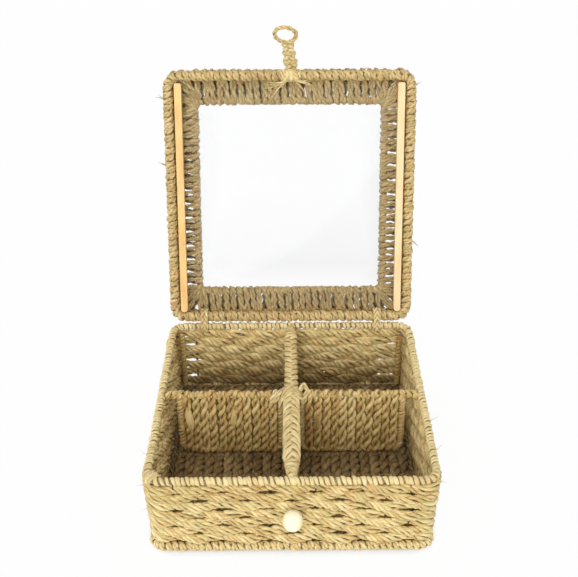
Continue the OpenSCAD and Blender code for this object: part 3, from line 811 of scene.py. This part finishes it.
def rims():
    """The ropes of the top and base rims, with loose leaf ends and a small knob at the front left corner."""
    rng = np.random.default_rng(14)
    top = Strands("top_rim_strands")
    rope_ring(top, RIM_LINE, RIM_LINE, CORNER_R - RIM_R, 0.0, RIM_Z, rng, 1.7, radius=1.95, pitch=3.3,
              half_w=1.34, half_t=0.9, hand=-1, sides=10, lumps=0.4, loosen=1.5, lobes=((2, 0.10), (5, 0.09)))
    for _ in range(26):
        turn = turn_z(int(rng.integers(4)) * math.pi / 2)
        root = turn @ (rng.uniform(-88, 88), -RIM_LINE, RIM_HIGH - 0.6)
        fray(top, root, turn @ (rng.normal(), -0.6, 0.5), rng, 1, 3.0, width=0.2)
    for place, heading, length in STRAY_ENDS:
        fray(top, place, heading, rng, 1, length, 0.25, 0.2)
    a = lap_angles(32)
    along = np.array([-1, 1, 0]) / math.sqrt(2)
    away = np.array([-1, -1, 0]) / math.sqrt(2)
    corner = np.array([-CORNER - 5.9, -CORNER - 5.9, RIM_Z - 0.4])
    for place in (-2.4, 0.0, 2.4):
        knob = corner + along * place + np.outer(4.4 * np.cos(a), away) + np.outer(3.0 * np.sin(a), Z)
        top.tube(knob, along, 1.4, 0.95, rng.uniform(), lobes=((3, 0.12),), lobe_lay=8, ring=True,
                 outward=unit(knob - knob.mean(0)))
    press(top, RIM_HIGH, 1)
    swell_back(top, RIM_LINE, RIM_Z, 0.07)
    top.build("box", "seagrass_wrap", WRAP, ("top_rim_wrap",))

    base = Strands("base_rim_strands")
    rope_ring(base, BASE_LINE, BASE_LINE, BASE_LINE - CORNER, 0.0, BASE_Z, rng, 2.1, radius=2.25, pitch=4.3,
              half_w=2.15, half_t=1.15, hand=-1, loosen=0.8, radius_2=2.2, number=2, lay=9.5, lumps=0.2)
    press(base, 0.0, -1, 0.3)
    base.build("box", "seagrass_wrap", WRAP, ("base_rim_wrap",))


# ---------------------------------------------------------------- dividers

def divider_cords(name, x_from, x_to, top_z, top_r, turn, rng):
    """Upright two-ply cords. Each goes up one side, over the top wire, down the other and under the foot."""
    piece = Strands(name + "_cords", (turn, np.zeros(3)))
    foot_r, half = 1.9, 2.15
    run = x_to - x_from - 5.0
    count = int(round(run / 6.35))
    a = np.linspace(0, math.pi, 9)
    for k in range(count):
        x = (x_from + x_to) / 2 - run / 2 + (k + 0.5) * run / count
        path = rounded(np.concatenate([
            trace(x, -top_r * np.cos(a), top_z + top_r * np.sin(a)),
            trace(x, half, np.linspace(top_z - 7, FOOT_Z + 7, 6)),
            trace(x, foot_r * np.cos(a), FOOT_Z - foot_r * np.sin(a)),
            trace(x, -half, np.linspace(FOOT_Z + 7, top_z - 7, 6))]), 1.2, 2, closed=True)
        lean = 0.5 * rng.normal()
        path[:, 0] += lean * (path[:, 2] - FOOT_Z) / (top_z - FOOT_Z) + 0.25 * wander(path[:, 2], rng, 30)
        cord(piece, resample(path, 1.2), X, rng, 2, rng.uniform(14, 18), (1.5, 0.8), (1.74, 1.2), hand=-1,
             wobble=0.7, uneven=0.14)
    return piece


def post_wrap(piece, x_from, x_to, top_z, rng):
    """The strands wound round a divider's two posts, its foot and its top wire."""
    flat, out, _ = ring_path((x_to - x_from) / 2, (top_z - FOOT_Z) / 2, 5.0)
    again = np.r_[0:len(flat), 0]
    flat, out = flat[again] + ((x_from + x_to) / 2, (top_z + FOOT_Z) / 2), out[again]
    wind(piece, trace(flat[:, 0], 0.0, flat[:, 1]), trace(out[:, 0], 0.0, out[:, 1]), Y, rng, radius=1.75,
         pitch=5.6, half_w=1.35, half_t=0.95, starts=2, lumps=0.3, lobes=((2, 0.12), (5, 0.06)))


def nose(piece, side, begin, end, radius, rng):
    """Turns that bind the end of a divider's rope to the rim."""
    x = np.arange(begin, end, 0.4)
    line = trace(side * x, 0.0, RIM_Z + 0.25 - 0.5 * (x - begin) / (end - begin))
    wind(piece, line, Y, Z, rng, radius=radius, pitch=4.3, half_w=2.1, half_t=1.1, sides=9, number=2, lay=8.0,
         lumps=0.3)


def leaf(piece, centre, length, width, lean, rng):
    """A wide flat leaf that shows among a divider's cords, in the XZ plane."""
    t = np.linspace(-1, 1, 24)
    path = trace(centre[0] + lean * t * length / 2, centre[1] + 1.1 * t ** 4, centre[2] + t * length / 2)
    shape = np.maximum(1 - t ** 2, 0.03) ** 0.7
    piece.tube(path, X, width / 2 * shape, 0.55 * shape ** 0.5, rng.uniform(), sides=14, lobes=((6, 0.03),),
               lobe_lay=200)


# The half width of the long divider's rope at places from its front end to its back end.
ROPE_PLACES = (-92, -86, -78, -70, -12, 12, 78, 86, 92)
ROPE_WIDTHS = (2.6, 3.2, 4.4, 5.7, 5.7, 4.7, 4.5, 3.4, 2.6)


def plaited_rope(piece, rng):
    """The rope on the long divider. Strokes rise from both flanks and cross at the middle like a plait."""
    reach = BOX_HALF - 5.0
    core = np.linspace(-reach, reach, 90)
    middle = RIM_HIGH - 3.4
    piece.tube(trace(core, 0.0, middle - 0.3), Y, np.interp(core, ROPE_PLACES, ROPE_WIDTHS) - 1.1, 2.2,
               rng.uniform(), sides=12, lobe_lay=9)
    shape = np.clip(np.linspace(0, 6, 19), 0.5, 1) * np.clip(np.linspace(6, 0, 19), 0.5, 1)
    y = -reach
    flip = 1
    while y < reach:
        for side in (-1, 1):
            width = np.interp(y, ROPE_PLACES, ROPE_WIDTHS) - 0.75
            high = 2.55 + 0.2 * rng.normal() * 0.6
            slope = 8.0 * np.clip(-y / 9, -0.75, 1) * min(1, (reach - abs(y)) / 16 + 0.2)
            a = np.radians(np.linspace(-48, 108 + 6 * rng.normal(), 19))
            rise = np.clip((a + 0.3) / 1.9, 0, 1)
            dive = 0.75 * np.clip((a - math.radians(78)) / 0.5, 0, 1) ** 1.5
            lift = 0.25 if side == flip else -0.05
            first = y + (1.0 + 0.3 * rng.normal()) * (side == flip)
            path = trace(first + slope * rise, -side * width * np.cos(a),
                         middle + high * np.sin(a) + lift - dive)
            piece.tube(path, X, rng.uniform(1.15, 1.45) * shape, rng.uniform(1.0, 1.2) * shape, rng.uniform(),
                       sides=9, lobes=((2, 0.08), (5, 0.05)), lobe_lay=rng.uniform(12, 18),
                       phase=rng.uniform(0, TAU), outward=unit((path - (first, 0, middle - 1.5)) * (0, 1, 1)))
        flip = -flip
        y += rng.uniform(3.1, 3.8)


def long_divider():
    """The divider from front to back: its cords, its plaited rope, and the turns that tie the rope's ends."""
    rng = np.random.default_rng(15)
    turn = turn_z(math.pi / 2)
    cords = divider_cords("center_divider", -LONG_POST, LONG_POST, LONG_TOP, 2.2, turn, rng)
    cords.build("box", "seagrass_weave", INSIDE_SHADE, ("center_divider_weave",))
    wrap = Strands("center_divider_rope", (turn, np.zeros(3)))
    post_wrap(wrap, -LONG_POST, LONG_POST, LONG_TOP, rng)
    plaited_rope(wrap, rng)
    a = lap_angles(36)
    for side in (-1, 1):
        nose(wrap, side, LONG_POST + 1.0, BOX_HALF - 3.0, 2.0, rng)
        for k in range(3):
            ring = trace(side * (LONG_POST - 1.0 - 3.4 * k) + 0.8 * np.cos(a + k), (3.3 + 0.5 * k) * np.cos(a),
                         RIM_HIGH - 3.2 + (3.1 + 0.1 * k) * np.sin(a))
            wrap.tube(ring, X, 1.3, 0.85, rng.uniform(), lobes=((3, 0.12), (5, 0.08)), lobe_lay=9, ring=True)
    press(wrap, RIM_HIGH, 1, beyond=79)
    wrap.build("box", "seagrass_wrap", WRAP, ("center_divider_wrap",))


# The wide leaves on each short divider: share of the way out from the crossing, height, length and width.
LEAVES = {-1: ((0.91, 40, 24, 6.0), (0.47, 40, 17, 4.6)), 1: ((0.16, 36, 16, 3.8), (0.62, 40, 12, 3.2))}


def short_dividers():
    """The dividers from the long one to the left and right walls."""
    rng = np.random.default_rng(16)
    for side, sign in (("left", -1), ("right", 1)):
        x_from, x_to = sorted((sign * SHORT_IN, sign * SHORT_OUT))
        cords = divider_cords(side + "_divider", x_from, x_to, SHORT_TOP, 2.15, np.eye(3), rng)
        for share, z, length, width in LEAVES[sign]:
            x = sign * (SHORT_IN + share * (SHORT_OUT - SHORT_IN))
            leaf(cords, (x, -3.75, z), length, width, rng.uniform(-0.1, 0.12), rng)
        cords.build("box", "seagrass_weave", INSIDE_SHADE, (side + "_divider_weave",))
        wrap = Strands(side + "_divider_strands")
        post_wrap(wrap, x_from, x_to, SHORT_TOP, rng)
        nose(wrap, sign, SHORT_OUT - 2.0, BOX_HALF - 3.2, 2.25, rng)
        press(wrap, RIM_HIGH, 1, beyond=84)
        wrap.build("box", "seagrass_wrap", INSIDE_SHADE, (side + "_divider_wrap",))


def lashing():
    """Cords that tie the short dividers' tops to the long rope where they cross."""
    rng = np.random.default_rng(17)
    piece = Strands("divider_lashing_cords")
    top = RIM_HIGH + 0.9
    for y, lean, out in ((-5.6, 1.4, 0.0), (-3.9, 0.4, 0.3), (-2.1, -0.6, 0.5), (0.2, -1.2, 0.6),
                         (2.4, -1.8, 0.4), (4.6, -1.2, 0.0)):
        points = [(-8.3 - out, y - 0.9 * lean - 1.2, top - 9.0), (-7.2 - out, y - 0.8 * lean - 0.4, top - 4.6),
                  (-5.0, y - 0.5 * lean, top - 1.2), (-1.9, y, top + out), (1.9, y + 0.3 * lean, top + out),
                  (5.0, y + 0.6 * lean, top - 1.2), (7.2 + out, y + 0.9 * lean - 0.4, top - 4.6),
                  (8.3 + out, y + lean - 1.2, top - 9.0)]
        cord(piece, rounded(points, 0.9), Y, rng, 2, 11, (0.55, 0.3), (0.78, 0.62), wobble=0.6)
    for x, lean in ((-9.6, 2.4), (-12.6, 1.8), (10.2, 1.6), (13.6, 1.0)):
        points = [(x - lean, -3.4, RIM_HIGH - 8.5), (x - 0.4 * lean, -3.7, RIM_HIGH - 4.2),
                  (x + 0.5 * lean, -1.2, RIM_HIGH + 0.3), (x + lean, 1.4, RIM_HIGH + 0.1),
                  (x + 1.1 * lean, 3.5, RIM_HIGH - 4.0)]
        cord(piece, rounded(points, 0.9), X, rng, 2, 10, (0.7, 0.35), (0.95, 0.7), hand=-1, wobble=0.6)
    for points in ([(5.6, 0.6, top - 0.9), (6.6, 2.2, top + 1.3), (8.2, 4.0, top + 3.0), (9.2, 4.4, top + 2.7),
                    (10.6, 2.6, top + 0.4), (13.4, -1.6, top - 1.6)],
                   [(6.8, 0.2, top - 1.2), (8.0, 1.6, top + 0.8), (9.4, 2.6, top + 1.6), (11.2, 1.0, top - 0.2),
                    (12.2, -1.8, top - 2.2)]):
        piece.tube(rounded(points, 0.8), (0.7, 0, 0.7), 1.25, 0.6, rng.uniform(), sides=12,
                   lobes=((4, 0.14), (5, 0.08)), lobe_lay=18)
    fray(piece, (-13.5, -4.3, RIM_HIGH - 7.5), (-0.75, -0.2, -0.75), rng, 3, 6, 0.12, 0.4)
    fray(piece, (9.0, 3.4, top + 1.4), (-0.5, 0.5, 0.5), rng, 3, 4, 0.3, 0.3)
    piece.build("box", "seagrass_wrap", WRAP, ("divider_lashing",))


# ---------------------------------------------------------------- lid

def lid_ropes():
    """The lid's ropes: the seat's, the outer edge's, which leaves room for the ties, and the window's."""
    rng = np.random.default_rng(21)
    outline = (LID_HALF, LID_RUN / 2, LID_CORNER, LID_MIDDLE)
    seat = Strands("lid_seat_strands", LID)
    rope_ring(seat, *outline, 0.0, rng, 2.6, radius=2.7, pitch=4.7, half_w=2.5, half_t=1.3, hand=-1, sides=9,
              loosen=0.7, number=2, lay=10.5, lumps=0.25)
    for x, y in ((-LID_HALF, -170), (-LID_HALF, -120), (LID_HALF, -178), (LID_HALF, -60), (-60, -LID_RUN),
                 (52, -LID_RUN)):
        heading = (x / 60, (y + LID_RUN / 2) / 90, rng.normal() * 0.3)
        fray(seat, (x * 1.035, y - 3.0 * (y == -LID_RUN), 0.0), heading, rng, 2, 6, 0.3)
    press(seat, SEAT_N, -1)
    swell_back(seat, 0.0, 0.0, 0.10)
    seat.build("lid", "seagrass_wrap", LID_SHADE, ("lid_seat_wrap",))

    edge = Strands("lid_edge_strands", LID)
    lap = length_along(ring_path(*outline[:3])[0])[-1]
    left, right = lap / 2 - TIE_X, lap / 2 + TIE_X
    room = 4.2
    rope_ring(edge, *outline, EDGE_N, rng, 2.7, overlap=0, radius=2.9, pitch=5.0, half_w=2.5, half_t=1.25,
              runs=((0.0, left - room), (left + room, right - room), (right + room, lap)), hand=-1, sides=9,
              number=2, lay=10.5, lumps=0.2)
    edge.build("lid", "seagrass_wrap", LID_SHADE, ("lid_edge_wrap",))

    window = Strands("window_strands", LID)
    rope_ring(window, WINDOW_LINE, WINDOW_RUN / 2, WINDOW_CORNER, LID_MIDDLE, EDGE_N, rng, 1.8, radius=2.15,
              pitch=4.9, half_w=2.1, half_t=1.15, hand=-1, sides=9, loosen=0.6, number=2, lay=9.0, lumps=0.3)
    window.build("lid", "seagrass_wrap", LID_SHADE, ("window_wrap",))


BELT_PITCH = 5.4
BELT_EDGE_R = 3.45
BELT_WINDOW_R = 2.25
CORNER_TURNS = 5
# How open the strands lie along each side of the lid's frame: places from 0 to 1, and the openness there.
FRAME_OPENNESS = {
    "front": ((0, 1.1), (0, 0)),
    "right": ((0, 0.45, 0.6, 0.78, 0.9, 1.1), (0, 0, 0.6, 0.6, 0.1, 0.5)),
    "back": ((0, 0.9, 1.1), (0, 0.1, 0.6)),
    "left": ((0, 0.1, 0.5, 0.68, 0.8, 1.1), (1.0, 1.0, 0.85, 0.5, 0, 0)),
}


def belt_profile():
    """One turn of a frame strand, seen across the frame: distance out from the window line, and height off the
    plane of the two wires."""
    near, far = FRAME_GAP * 0.35, FRAME_GAP * 0.72
    points = np.concatenate([
        arc((0, 0), BELT_WINDOW_R, np.radians(np.linspace(270, 90, 9))),
        [(near, BELT_WINDOW_R + 0.1), (far, BELT_WINDOW_R + 0.35)],
        arc((FRAME_GAP, 0), BELT_EDGE_R, np.radians(np.linspace(105, -105, 13))),
        [(far, -BELT_WINDOW_R - 0.15), (near, -BELT_WINDOW_R)]])
    return rounded(points, 0.5, 1, closed=True)


def frame_lines(u, turns, half_l, half_w):
    """Points of the window wire and of the edge wire that a strand goes between, u turns along one side of the
    frame and then round its right-hand corner. half_l and half_w are the window's, along and across it."""
    straight = half_l - WINDOW_CORNER
    x = -straight + 2 * straight * np.minimum(u, turns) / turns
    beyond = np.clip(u - turns, 0, None) / CORNER_TURNS
    a = beyond * math.pi / 2
    window = np.stack([x + WINDOW_CORNER * np.sin(a), -half_w + WINDOW_CORNER - WINDOW_CORNER * np.cos(a)], 1)
    lead = half_l + FRAME_GAP - LID_CORNER - straight
    bend = LID_CORNER * math.pi / 2
    run = beyond * (2 * lead + bend)
    a = np.clip(run - lead, 0, bend) / LID_CORNER
    edge_x = x + np.minimum(run, lead) + LID_CORNER * np.sin(a)
    edge_y = -half_w - FRAME_GAP + LID_CORNER - LID_CORNER * np.cos(a) + np.clip(run - lead - bend, 0, None)
    return window, np.stack([edge_x, edge_y], 1)


def frame_side(name, side, rng):
    """The strands of one side of the lid's frame, and of its right-hand corner, wound round both wires."""
    piece = Strands("lid_" + name + "_belts", LID)
    upright = side % 2 == 1
    half_l, half_w = WINDOW_LINE, WINDOW_RUN / 2
    if upright:
        half_l, half_w = half_w, half_l
    turns = int(round(2 * (half_l - WINDOW_CORNER) / BELT_PITCH))
    all_turns = turns + CORNER_TURNS
    profile = belt_profile()
    p_len = length_along(profile)
    u = np.linspace(0.0, all_turns - 0.02, int(all_turns * p_len[-1] / 1.25))
    lap = u % 1.0
    q, n = look_up(lap * p_len[-1], p_len, profile).T
    openness = np.interp(u / turns, *FRAME_OPENNESS[name])
    odd = np.cos(math.pi * np.floor(u))
    apart = (0.24 if upright else 0.15) * odd * np.clip(1 + 0.8 * wander(u, rng, 11), 0.2, 1.6) * (1 - openness)
    shift = u + 0.24 * odd * openness * np.sin(math.pi * lap)
    shift = shift + apart * np.interp(lap, (0, 0.15, 0.42, 0.58, 0.95, 1.0), (0, 0, -1, 1, 0, 0))
    shift = shift + 0.10 * wander(u, rng, 2.3) + 0.12 * wander(u, rng, 7)

    window, edge = frame_lines(np.clip(shift, 0, all_turns), turns, half_l, half_w)
    gap = np.linalg.norm(edge - window, axis=1)
    reach = np.where(q <= 0, q, np.where(q >= FRAME_GAP, gap + q - FRAME_GAP, q * gap / FRAME_GAP))
    flat = window + unit(edge - window) * reach[:, None]
    path = raised(flat, n) @ turn_z(side * math.pi / 2).T + (0.0, LID_MIDDLE, EDGE_N)
    s = length_along(path)
    radial = unit((path - (0.0, LID_MIDDLE, 0.0)) * (1, 1, 0))
    wide, thick = square_to(path, np.cross(Z, radial))
    slim = 1 + 0.16 * np.clip(q / FRAME_GAP, 0, 1) - 0.10 * np.exp(-((q - FRAME_GAP / 2) / 5.0) ** 2)
    slim = slim * (1 - 0.30 * openness) * (1.0 if upright else 1.08)
    twist = TAU * s / 15.0 + 0.8 * wander(s, rng, 40)
    away = unit(trace(0.0, 0.0, n) + radial * (q - np.clip(q, 0, FRAME_GAP))[:, None])
    for ply in (0, 1):
        f = twist + ply * math.pi
        centre = path + wide * (1.05 * np.sin(f) * slim)[:, None] + thick * (0.38 * np.cos(f))[:, None]
        swell = slim * (1 + 0.12 * wander(s, rng, 12))
        piece.tube(centre, wide, 1.34 * swell, 0.8 * swell, rng.uniform(), sides=9,
                   lobes=((3, 0.09), (4, 0.07)), lobe_lay=-rng.uniform(9, 13), phase=rng.uniform(0, TAU),
                   outward=unit(unit(centre - path) + away))
    piece.build("lid", "seagrass_wrap", FRAME, ("lid_" + name + "_strands",))


def lid_frame():
    rng = np.random.default_rng(22)
    for side, name in enumerate(("front", "right", "back", "left")):
        frame_side(name, side, rng)


# ---------------------------------------------------------------- hinge ties, closure and wood

def belt_line(a, ra, b, rb):
    """A belt's line round two circles, as points in their plane."""
    heading = math.atan2(b[1] - a[1], b[0] - a[0])
    spread = math.acos((ra - rb) / math.dist(a, b))
    return np.concatenate([arc(a, ra, np.linspace(heading + spread, heading + TAU - spread, 24)),
                           arc(b, rb, np.linspace(heading - spread, heading + spread, 12))])


def hinge_ties():
    """Two turns of cord on each side, round the lid's rope and the rim."""
    rng = np.random.default_rng(23)
    y, z = belt_line(HINGE[1:], 5.45, (RIM_LINE, RIM_Z), 4.15).T
    for name, side in (("left", -1), ("right", 1)):
        piece = Strands("hinge_tie_" + name + "_cords")
        for turn in (-1, 1):
            path = trace(side * TIE_X + turn * 1.42, y, z)
            path = resample(np.concatenate([path, path[:1]]), 0.8)[:-1]
            ring_cord(piece, path, rng, 9.5, (0.72, 0.42), (0.98, 0.76), hand=turn, wobble=0.4, sides=10)
        piece.build("box", "seagrass_wrap", WRAP, ("hinge_tie_" + name,))


def braid(piece, line, across, up, rng):
    """The closure loop's tail: a plait of three strands that narrows towards the eye."""
    period = 15.0
    line = resample(line, 1.0)
    s = length_along(line)
    across, _ = square_to(line, across)
    half_w = np.interp(s, [0, 8, s[-1]], [3.4, 3.2, 2.3])
    phase = TAU * s / period + 0.35 * wander(s, rng, period * 3) + 1.0
    for k in range(3):
        f = phase + TAU * k / 3
        path = line + across * (half_w * np.sin(f))[:, None] + up * (0.75 * np.sin(2 * f))[:, None]
        swell = (1 + 0.10 * wander(s, rng, period)) * np.clip(half_w / half_w.max() + 0.25, 0.5, 1)
        piece.tube(path, across, 1.8 * swell, 1.8 * 0.85 * swell, rng.uniform(), lobes=((3, 0.12), (5, 0.08)),
                   lobe_lay=rng.uniform(9, 13), phase=rng.uniform(0, TAU), outward=unit(path - line))


def closure():
    """The closure loop's tail, eye and turns, and the turns that tie it to the lid, with their loose ends."""
    rng = np.random.default_rng(24)
    loop = Strands("closure_loop_cords", LID)
    x0 = FOLD_LID[0]
    across, along, up = LOOP_TURN.T
    y = np.linspace(0.5, -LOOP_REACH + 7.2, 8)
    tail = loop_point(trace(0.0, y, -0.6 * np.clip((-y - 12) / 8, 0, 1)))
    root = [(x0 + 0.6, -LID_RUN - 1.0, 4.4), (x0 + 0.4, -LID_RUN - 4.2, 3.2)]
    braid(loop, rounded(np.concatenate([root, tail]), 1.0, 2), across, up, rng)
    a = lap_angles(66)
    ex, ey = EYE_HALF[0] * np.cos(a), EYE_HALF[1] * np.sin(a)
    c, s = math.cos(EYE_TILT), math.sin(EYE_TILT)
    eye = loop_point(trace(ex * c - ey * s - 0.9, ex * s + ey * c - LOOP_REACH, -0.09 * ex - 1.1))
    plies(loop, eye, unit(eye - eye.mean(0)), steady(up, eye), rng, 2, 9.0, (0.62, 0.62), (0.98, 0.98),
          wobble=0.3, sides=10, ring=True)
    band = loop_point([(2.4, -LOOP_REACH + 8.0, 0.2), (5.4, -LOOP_REACH + 5.4, -0.2),
                       (7.3, -LOOP_REACH + 0.8, -0.9), (6.6, -LOOP_REACH - 3.0, -1.2)])
    loop.tube(rounded(band, 0.8), across, 1.35, 0.7, rng.uniform(), sides=12, lobes=((4, 0.12),), lobe_lay=14)
    for share in (0.16, 0.50, 0.83):
        thick = np.where(np.sin(a) > 0, 2.4 - 0.3 * share, 1.7)
        turn = loop_point(trace((5.0 - 1.3 * share) * np.cos(a),
                                -share * (LOOP_REACH - 6.5) + 0.9 * np.sin(a + 1), thick * np.sin(a)))
        loop.tube(turn, along, 1.3, 0.75, rng.uniform(), lobes=((3, 0.12), (5, 0.06)), lobe_lay=8, ring=True)
    obj = loop.build(None, "seagrass_wrap", WRAP, ("closure_loop",))
    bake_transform(obj)

    anchor = Strands("loop_anchor_cords", LID)
    a = lap_angles(36)
    for k in range(5):
        path = trace(x0 - 5.2 + 2.6 * k + 0.8 * np.sin(a + k), -LID_RUN + 3.7 * np.cos(a), 3.4 * np.sin(a))
        ring_cord(anchor, path, rng, 8.0, (0.6, 0.35), (0.95, 0.8))
    for dx, dy in ((-3.6, 0.4), (0.2, -0.5), (3.4, 0.5)):
        over = [(x0 + dx * 1.5, -LID_RUN + 4.6 + dy, -2.0), (x0 + dx, -LID_RUN + 2.2, -3.9),
                (x0 + 0.6 * dx, -LID_RUN - 2.4, -3.8), (x0 + 0.4 * dx, -LID_RUN - 4.9, -1.2)]
        anchor.tube(rounded(over, 0.8), X, 1.5, 0.85, rng.uniform(), lobes=((3, 0.1),), lobe_lay=8)
    fray(anchor, (x0 - 3, -LID_RUN + 3.8, -3.6), (-1.0, 0.42, -0.05), rng, 7, 15, 0.16, 0.62)
    fray(anchor, (x0 + 4, -LID_RUN + 3.8, -3.6), (1.0, 0.34, -0.05), rng, 7, 13, 0.18, 0.62)
    press(anchor, SEAT_N, -1)
    anchor.build("lid", "seagrass_wrap", WRAP, ("loop_anchor",))


def bead():
    """The wooden bead, a tenth taller than it is wide, and the cord that holds it to the wall."""
    rings, sides = 40, 56
    tall = 1.10 * BEAD_R
    a = math.pi * np.arange(1, rings)[:, None] / rings
    b = TAU * np.arange(sides) / sides
    wide = BEAD_R * np.sin(a) ** 0.92
    shell = np.stack(np.broadcast_arrays(wide * np.cos(b), wide * np.sin(b), tall * np.cos(a)), -1)
    shell = shell.reshape(-1, 3)
    points = (np.concatenate([shell, [(0, 0, tall), (0, 0, -tall)]]) + BEAD) * MM
    pairs = [(j, (j + 1) % sides) for j in range(sides)]
    top, last = len(shell), (rings - 2) * sides
    faces = [(i + j, i + sides + j, i + sides + k, i + k) for i in range(0, last, sides) for j, k in pairs]
    for j, k in pairs:
        faces += [(top, j, k), (top + 1, last + k, last + j)]
    mesh = bpy.data.meshes.new("bead")
    mesh.from_pydata(points.tolist(), [], faces)
    mesh.shade_smooth()
    mesh.materials.append(PALE_PINE)
    obj = add("bead", mesh)
    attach(obj, "box")
    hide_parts("knob_bead")

    rng = np.random.default_rng(25)
    tie = Strands("bead_cord")
    back = span("knob_tie", 1)[1]
    path = trace(BEAD[0], np.linspace(back + 1.5, BEAD[1] + 1.0, 14), BEAD[2])
    tie.tube(path, X, 1.15, 1.15, rng.uniform(), lobes=((2, 0.2),), lobe_lay=6)
    tie.build("box", "seagrass_wrap", WRAP, ("knob_tie",))


def paint(name, material):
    """Gives a carried-over node its material."""
    data = frame["nodes"][name].data
    data.materials.clear()
    data.materials.append(material)


def carried_over():
    """Finishes of the nodes that stay as they are, and softer edges for the wooden strips."""
    for name in ("base_rim_wire", "top_rim_wire", "corner_posts", "floor_wires", "center_divider_wire",
                 "left_divider_wire", "right_divider_wire", "lid_seat_wire", "lid_edge_wire", "window_wire"):
        paint(name, STEEL)
    paint("window_pane", PANE)
    for name, material in (("left_strip", WARM_PINE), ("right_strip", FAINT_PINE)):
        paint(name, material)
        bevel = frame["nodes"][name].modifiers.new("soft_edges", "BEVEL")
        bevel.width = 0.5 * MM
        bevel.segments = 3
        bevel.limit_method = "ANGLE"
        bevel.angle_limit = math.radians(40)


# ---------------------------------------------------------------- stage, light and camera

def ground():
    """A white table. A little away from the box it is pure white to the camera, in reflections and through the
    pane, and it stays a plain white surface for the light that it throws back on the box."""
    size = 4.0                  # metres, each way from the middle
    mesh = bpy.data.meshes.new("ground")
    corners = [(-size, -size, 0), (size, -size, 0), (size, size, 0), (-size, size, 0)]
    mesh.from_pydata(corners, [], [(0, 1, 2, 3)])
    obj = add("ground", mesh)
    obj.location.z = -0.2 * MM
    m = Nodes(bpy.data.materials.new("ground_white"))
    mesh.materials.append(m.dress(Base_Color=grey(0.86), Roughness=1.0, Specular_IOR_Level=0.0))
    place = m.node("ShaderNodeSeparateXYZ", Vector=m.node("ShaderNodeNewGeometry").outputs["Position"]).outputs
    off = [m.math("MAXIMUM", m.math("SUBTRACT", m.math("ABSOLUTE", c), (BOX_HALF - 20) * MM), 0.0)
           for c in (place[0], place[1])]
    off = m.math("POWER", m.math("ADD", m.math("POWER", off[0], 2.0), m.math("POWER", off[1], 2.0)), 0.5)
    outside = m.node("ShaderNodeMapRange", Value=off, From_Min=13 * MM, From_Max=23 * MM).outputs[0]
    share = m.times(m.times(m.seen_by_eye(), outside), 0.95)
    glow = m.node("ShaderNodeEmission", Color=(1, 1, 1, 1), Strength=1.0).outputs[0]
    mixed = m.node("ShaderNodeMixShader", i0=share, i1=m.nodes["Principled BSDF"].outputs[0], i2=glow)
    m.set(m.nodes["Material Output"], "Surface", mixed.outputs[0])


def surroundings():
    """White all round, as in a light tent: full white to the camera, in reflections and through the pane, and
    TENT for the light on the object."""
    world = bpy.data.worlds.new("studio")
    bpy.context.scene.world = world
    m = Nodes(world)
    level = m.node("ShaderNodeMapRange", To_Min=TENT, To_Max=1.0, Value=m.seen_by_eye())
    m.set(m.nodes["Background"], "Color", (1, 1, 1, 1))
    m.set(m.nodes["Background"], "Strength", level.outputs[0])


def lamps():
    """Two soft suns: one high, and one low in front."""
    for name, turn, strength, softness in (("key", (40, 4, -16), 0.55, 40), ("front", (74, 0, -8), 1.15, 30)):
        light = bpy.data.lights.new(name, "SUN")
        light.energy = strength
        light.angle = math.radians(softness)
        add(name, light).rotation_euler = [math.radians(a) for a in turn]


# The photograph's view, found by fitting the rims' corners: place, turn in degrees, and lengths in pixels.
EYE_PLACE = (-1.0, -576.0, 477.0)
EYE_TURN = (-0.02, 29.87, -0.31)
FOCAL_PIXELS = 995.0
PHOTO_WIDTH = 578.0
SENSOR = 36.0


def camera():
    yaw, pitch, roll = (math.radians(a) for a in EYE_TURN)
    ahead = np.array([math.sin(yaw) * math.cos(pitch), math.cos(yaw) * math.cos(pitch), -math.sin(pitch)])
    level = np.array([math.cos(yaw), -math.sin(yaw), 0.0])
    up = np.cross(level, ahead)
    pose = np.eye(4)
    pose[:3, 0] = level * math.cos(roll) + up * math.sin(roll)
    pose[:3, 1] = -level * math.sin(roll) + up * math.cos(roll)
    pose[:3, 2] = -ahead
    pose[:3, 3] = np.array(EYE_PLACE) * MM
    lens = bpy.data.cameras.new("camera")
    lens.sensor_width = SENSOR
    lens.lens = FOCAL_PIXELS * SENSOR / PHOTO_WIDTH
    lens.clip_start = 0.01
    eye = add("camera", lens)
    eye.matrix_world = Matrix(pose.tolist())
    bpy.context.scene.camera = eye


# ---------------------------------------------------------------- all of it

for make in (camera, ground, surroundings, lamps, walls, stakes, floor, rims, long_divider, short_dividers,
             lashing, lid_ropes, lid_frame, hinge_ties, closure, bead, carried_over):
    make()
bpy.context.scene.view_settings.view_transform = "Standard"
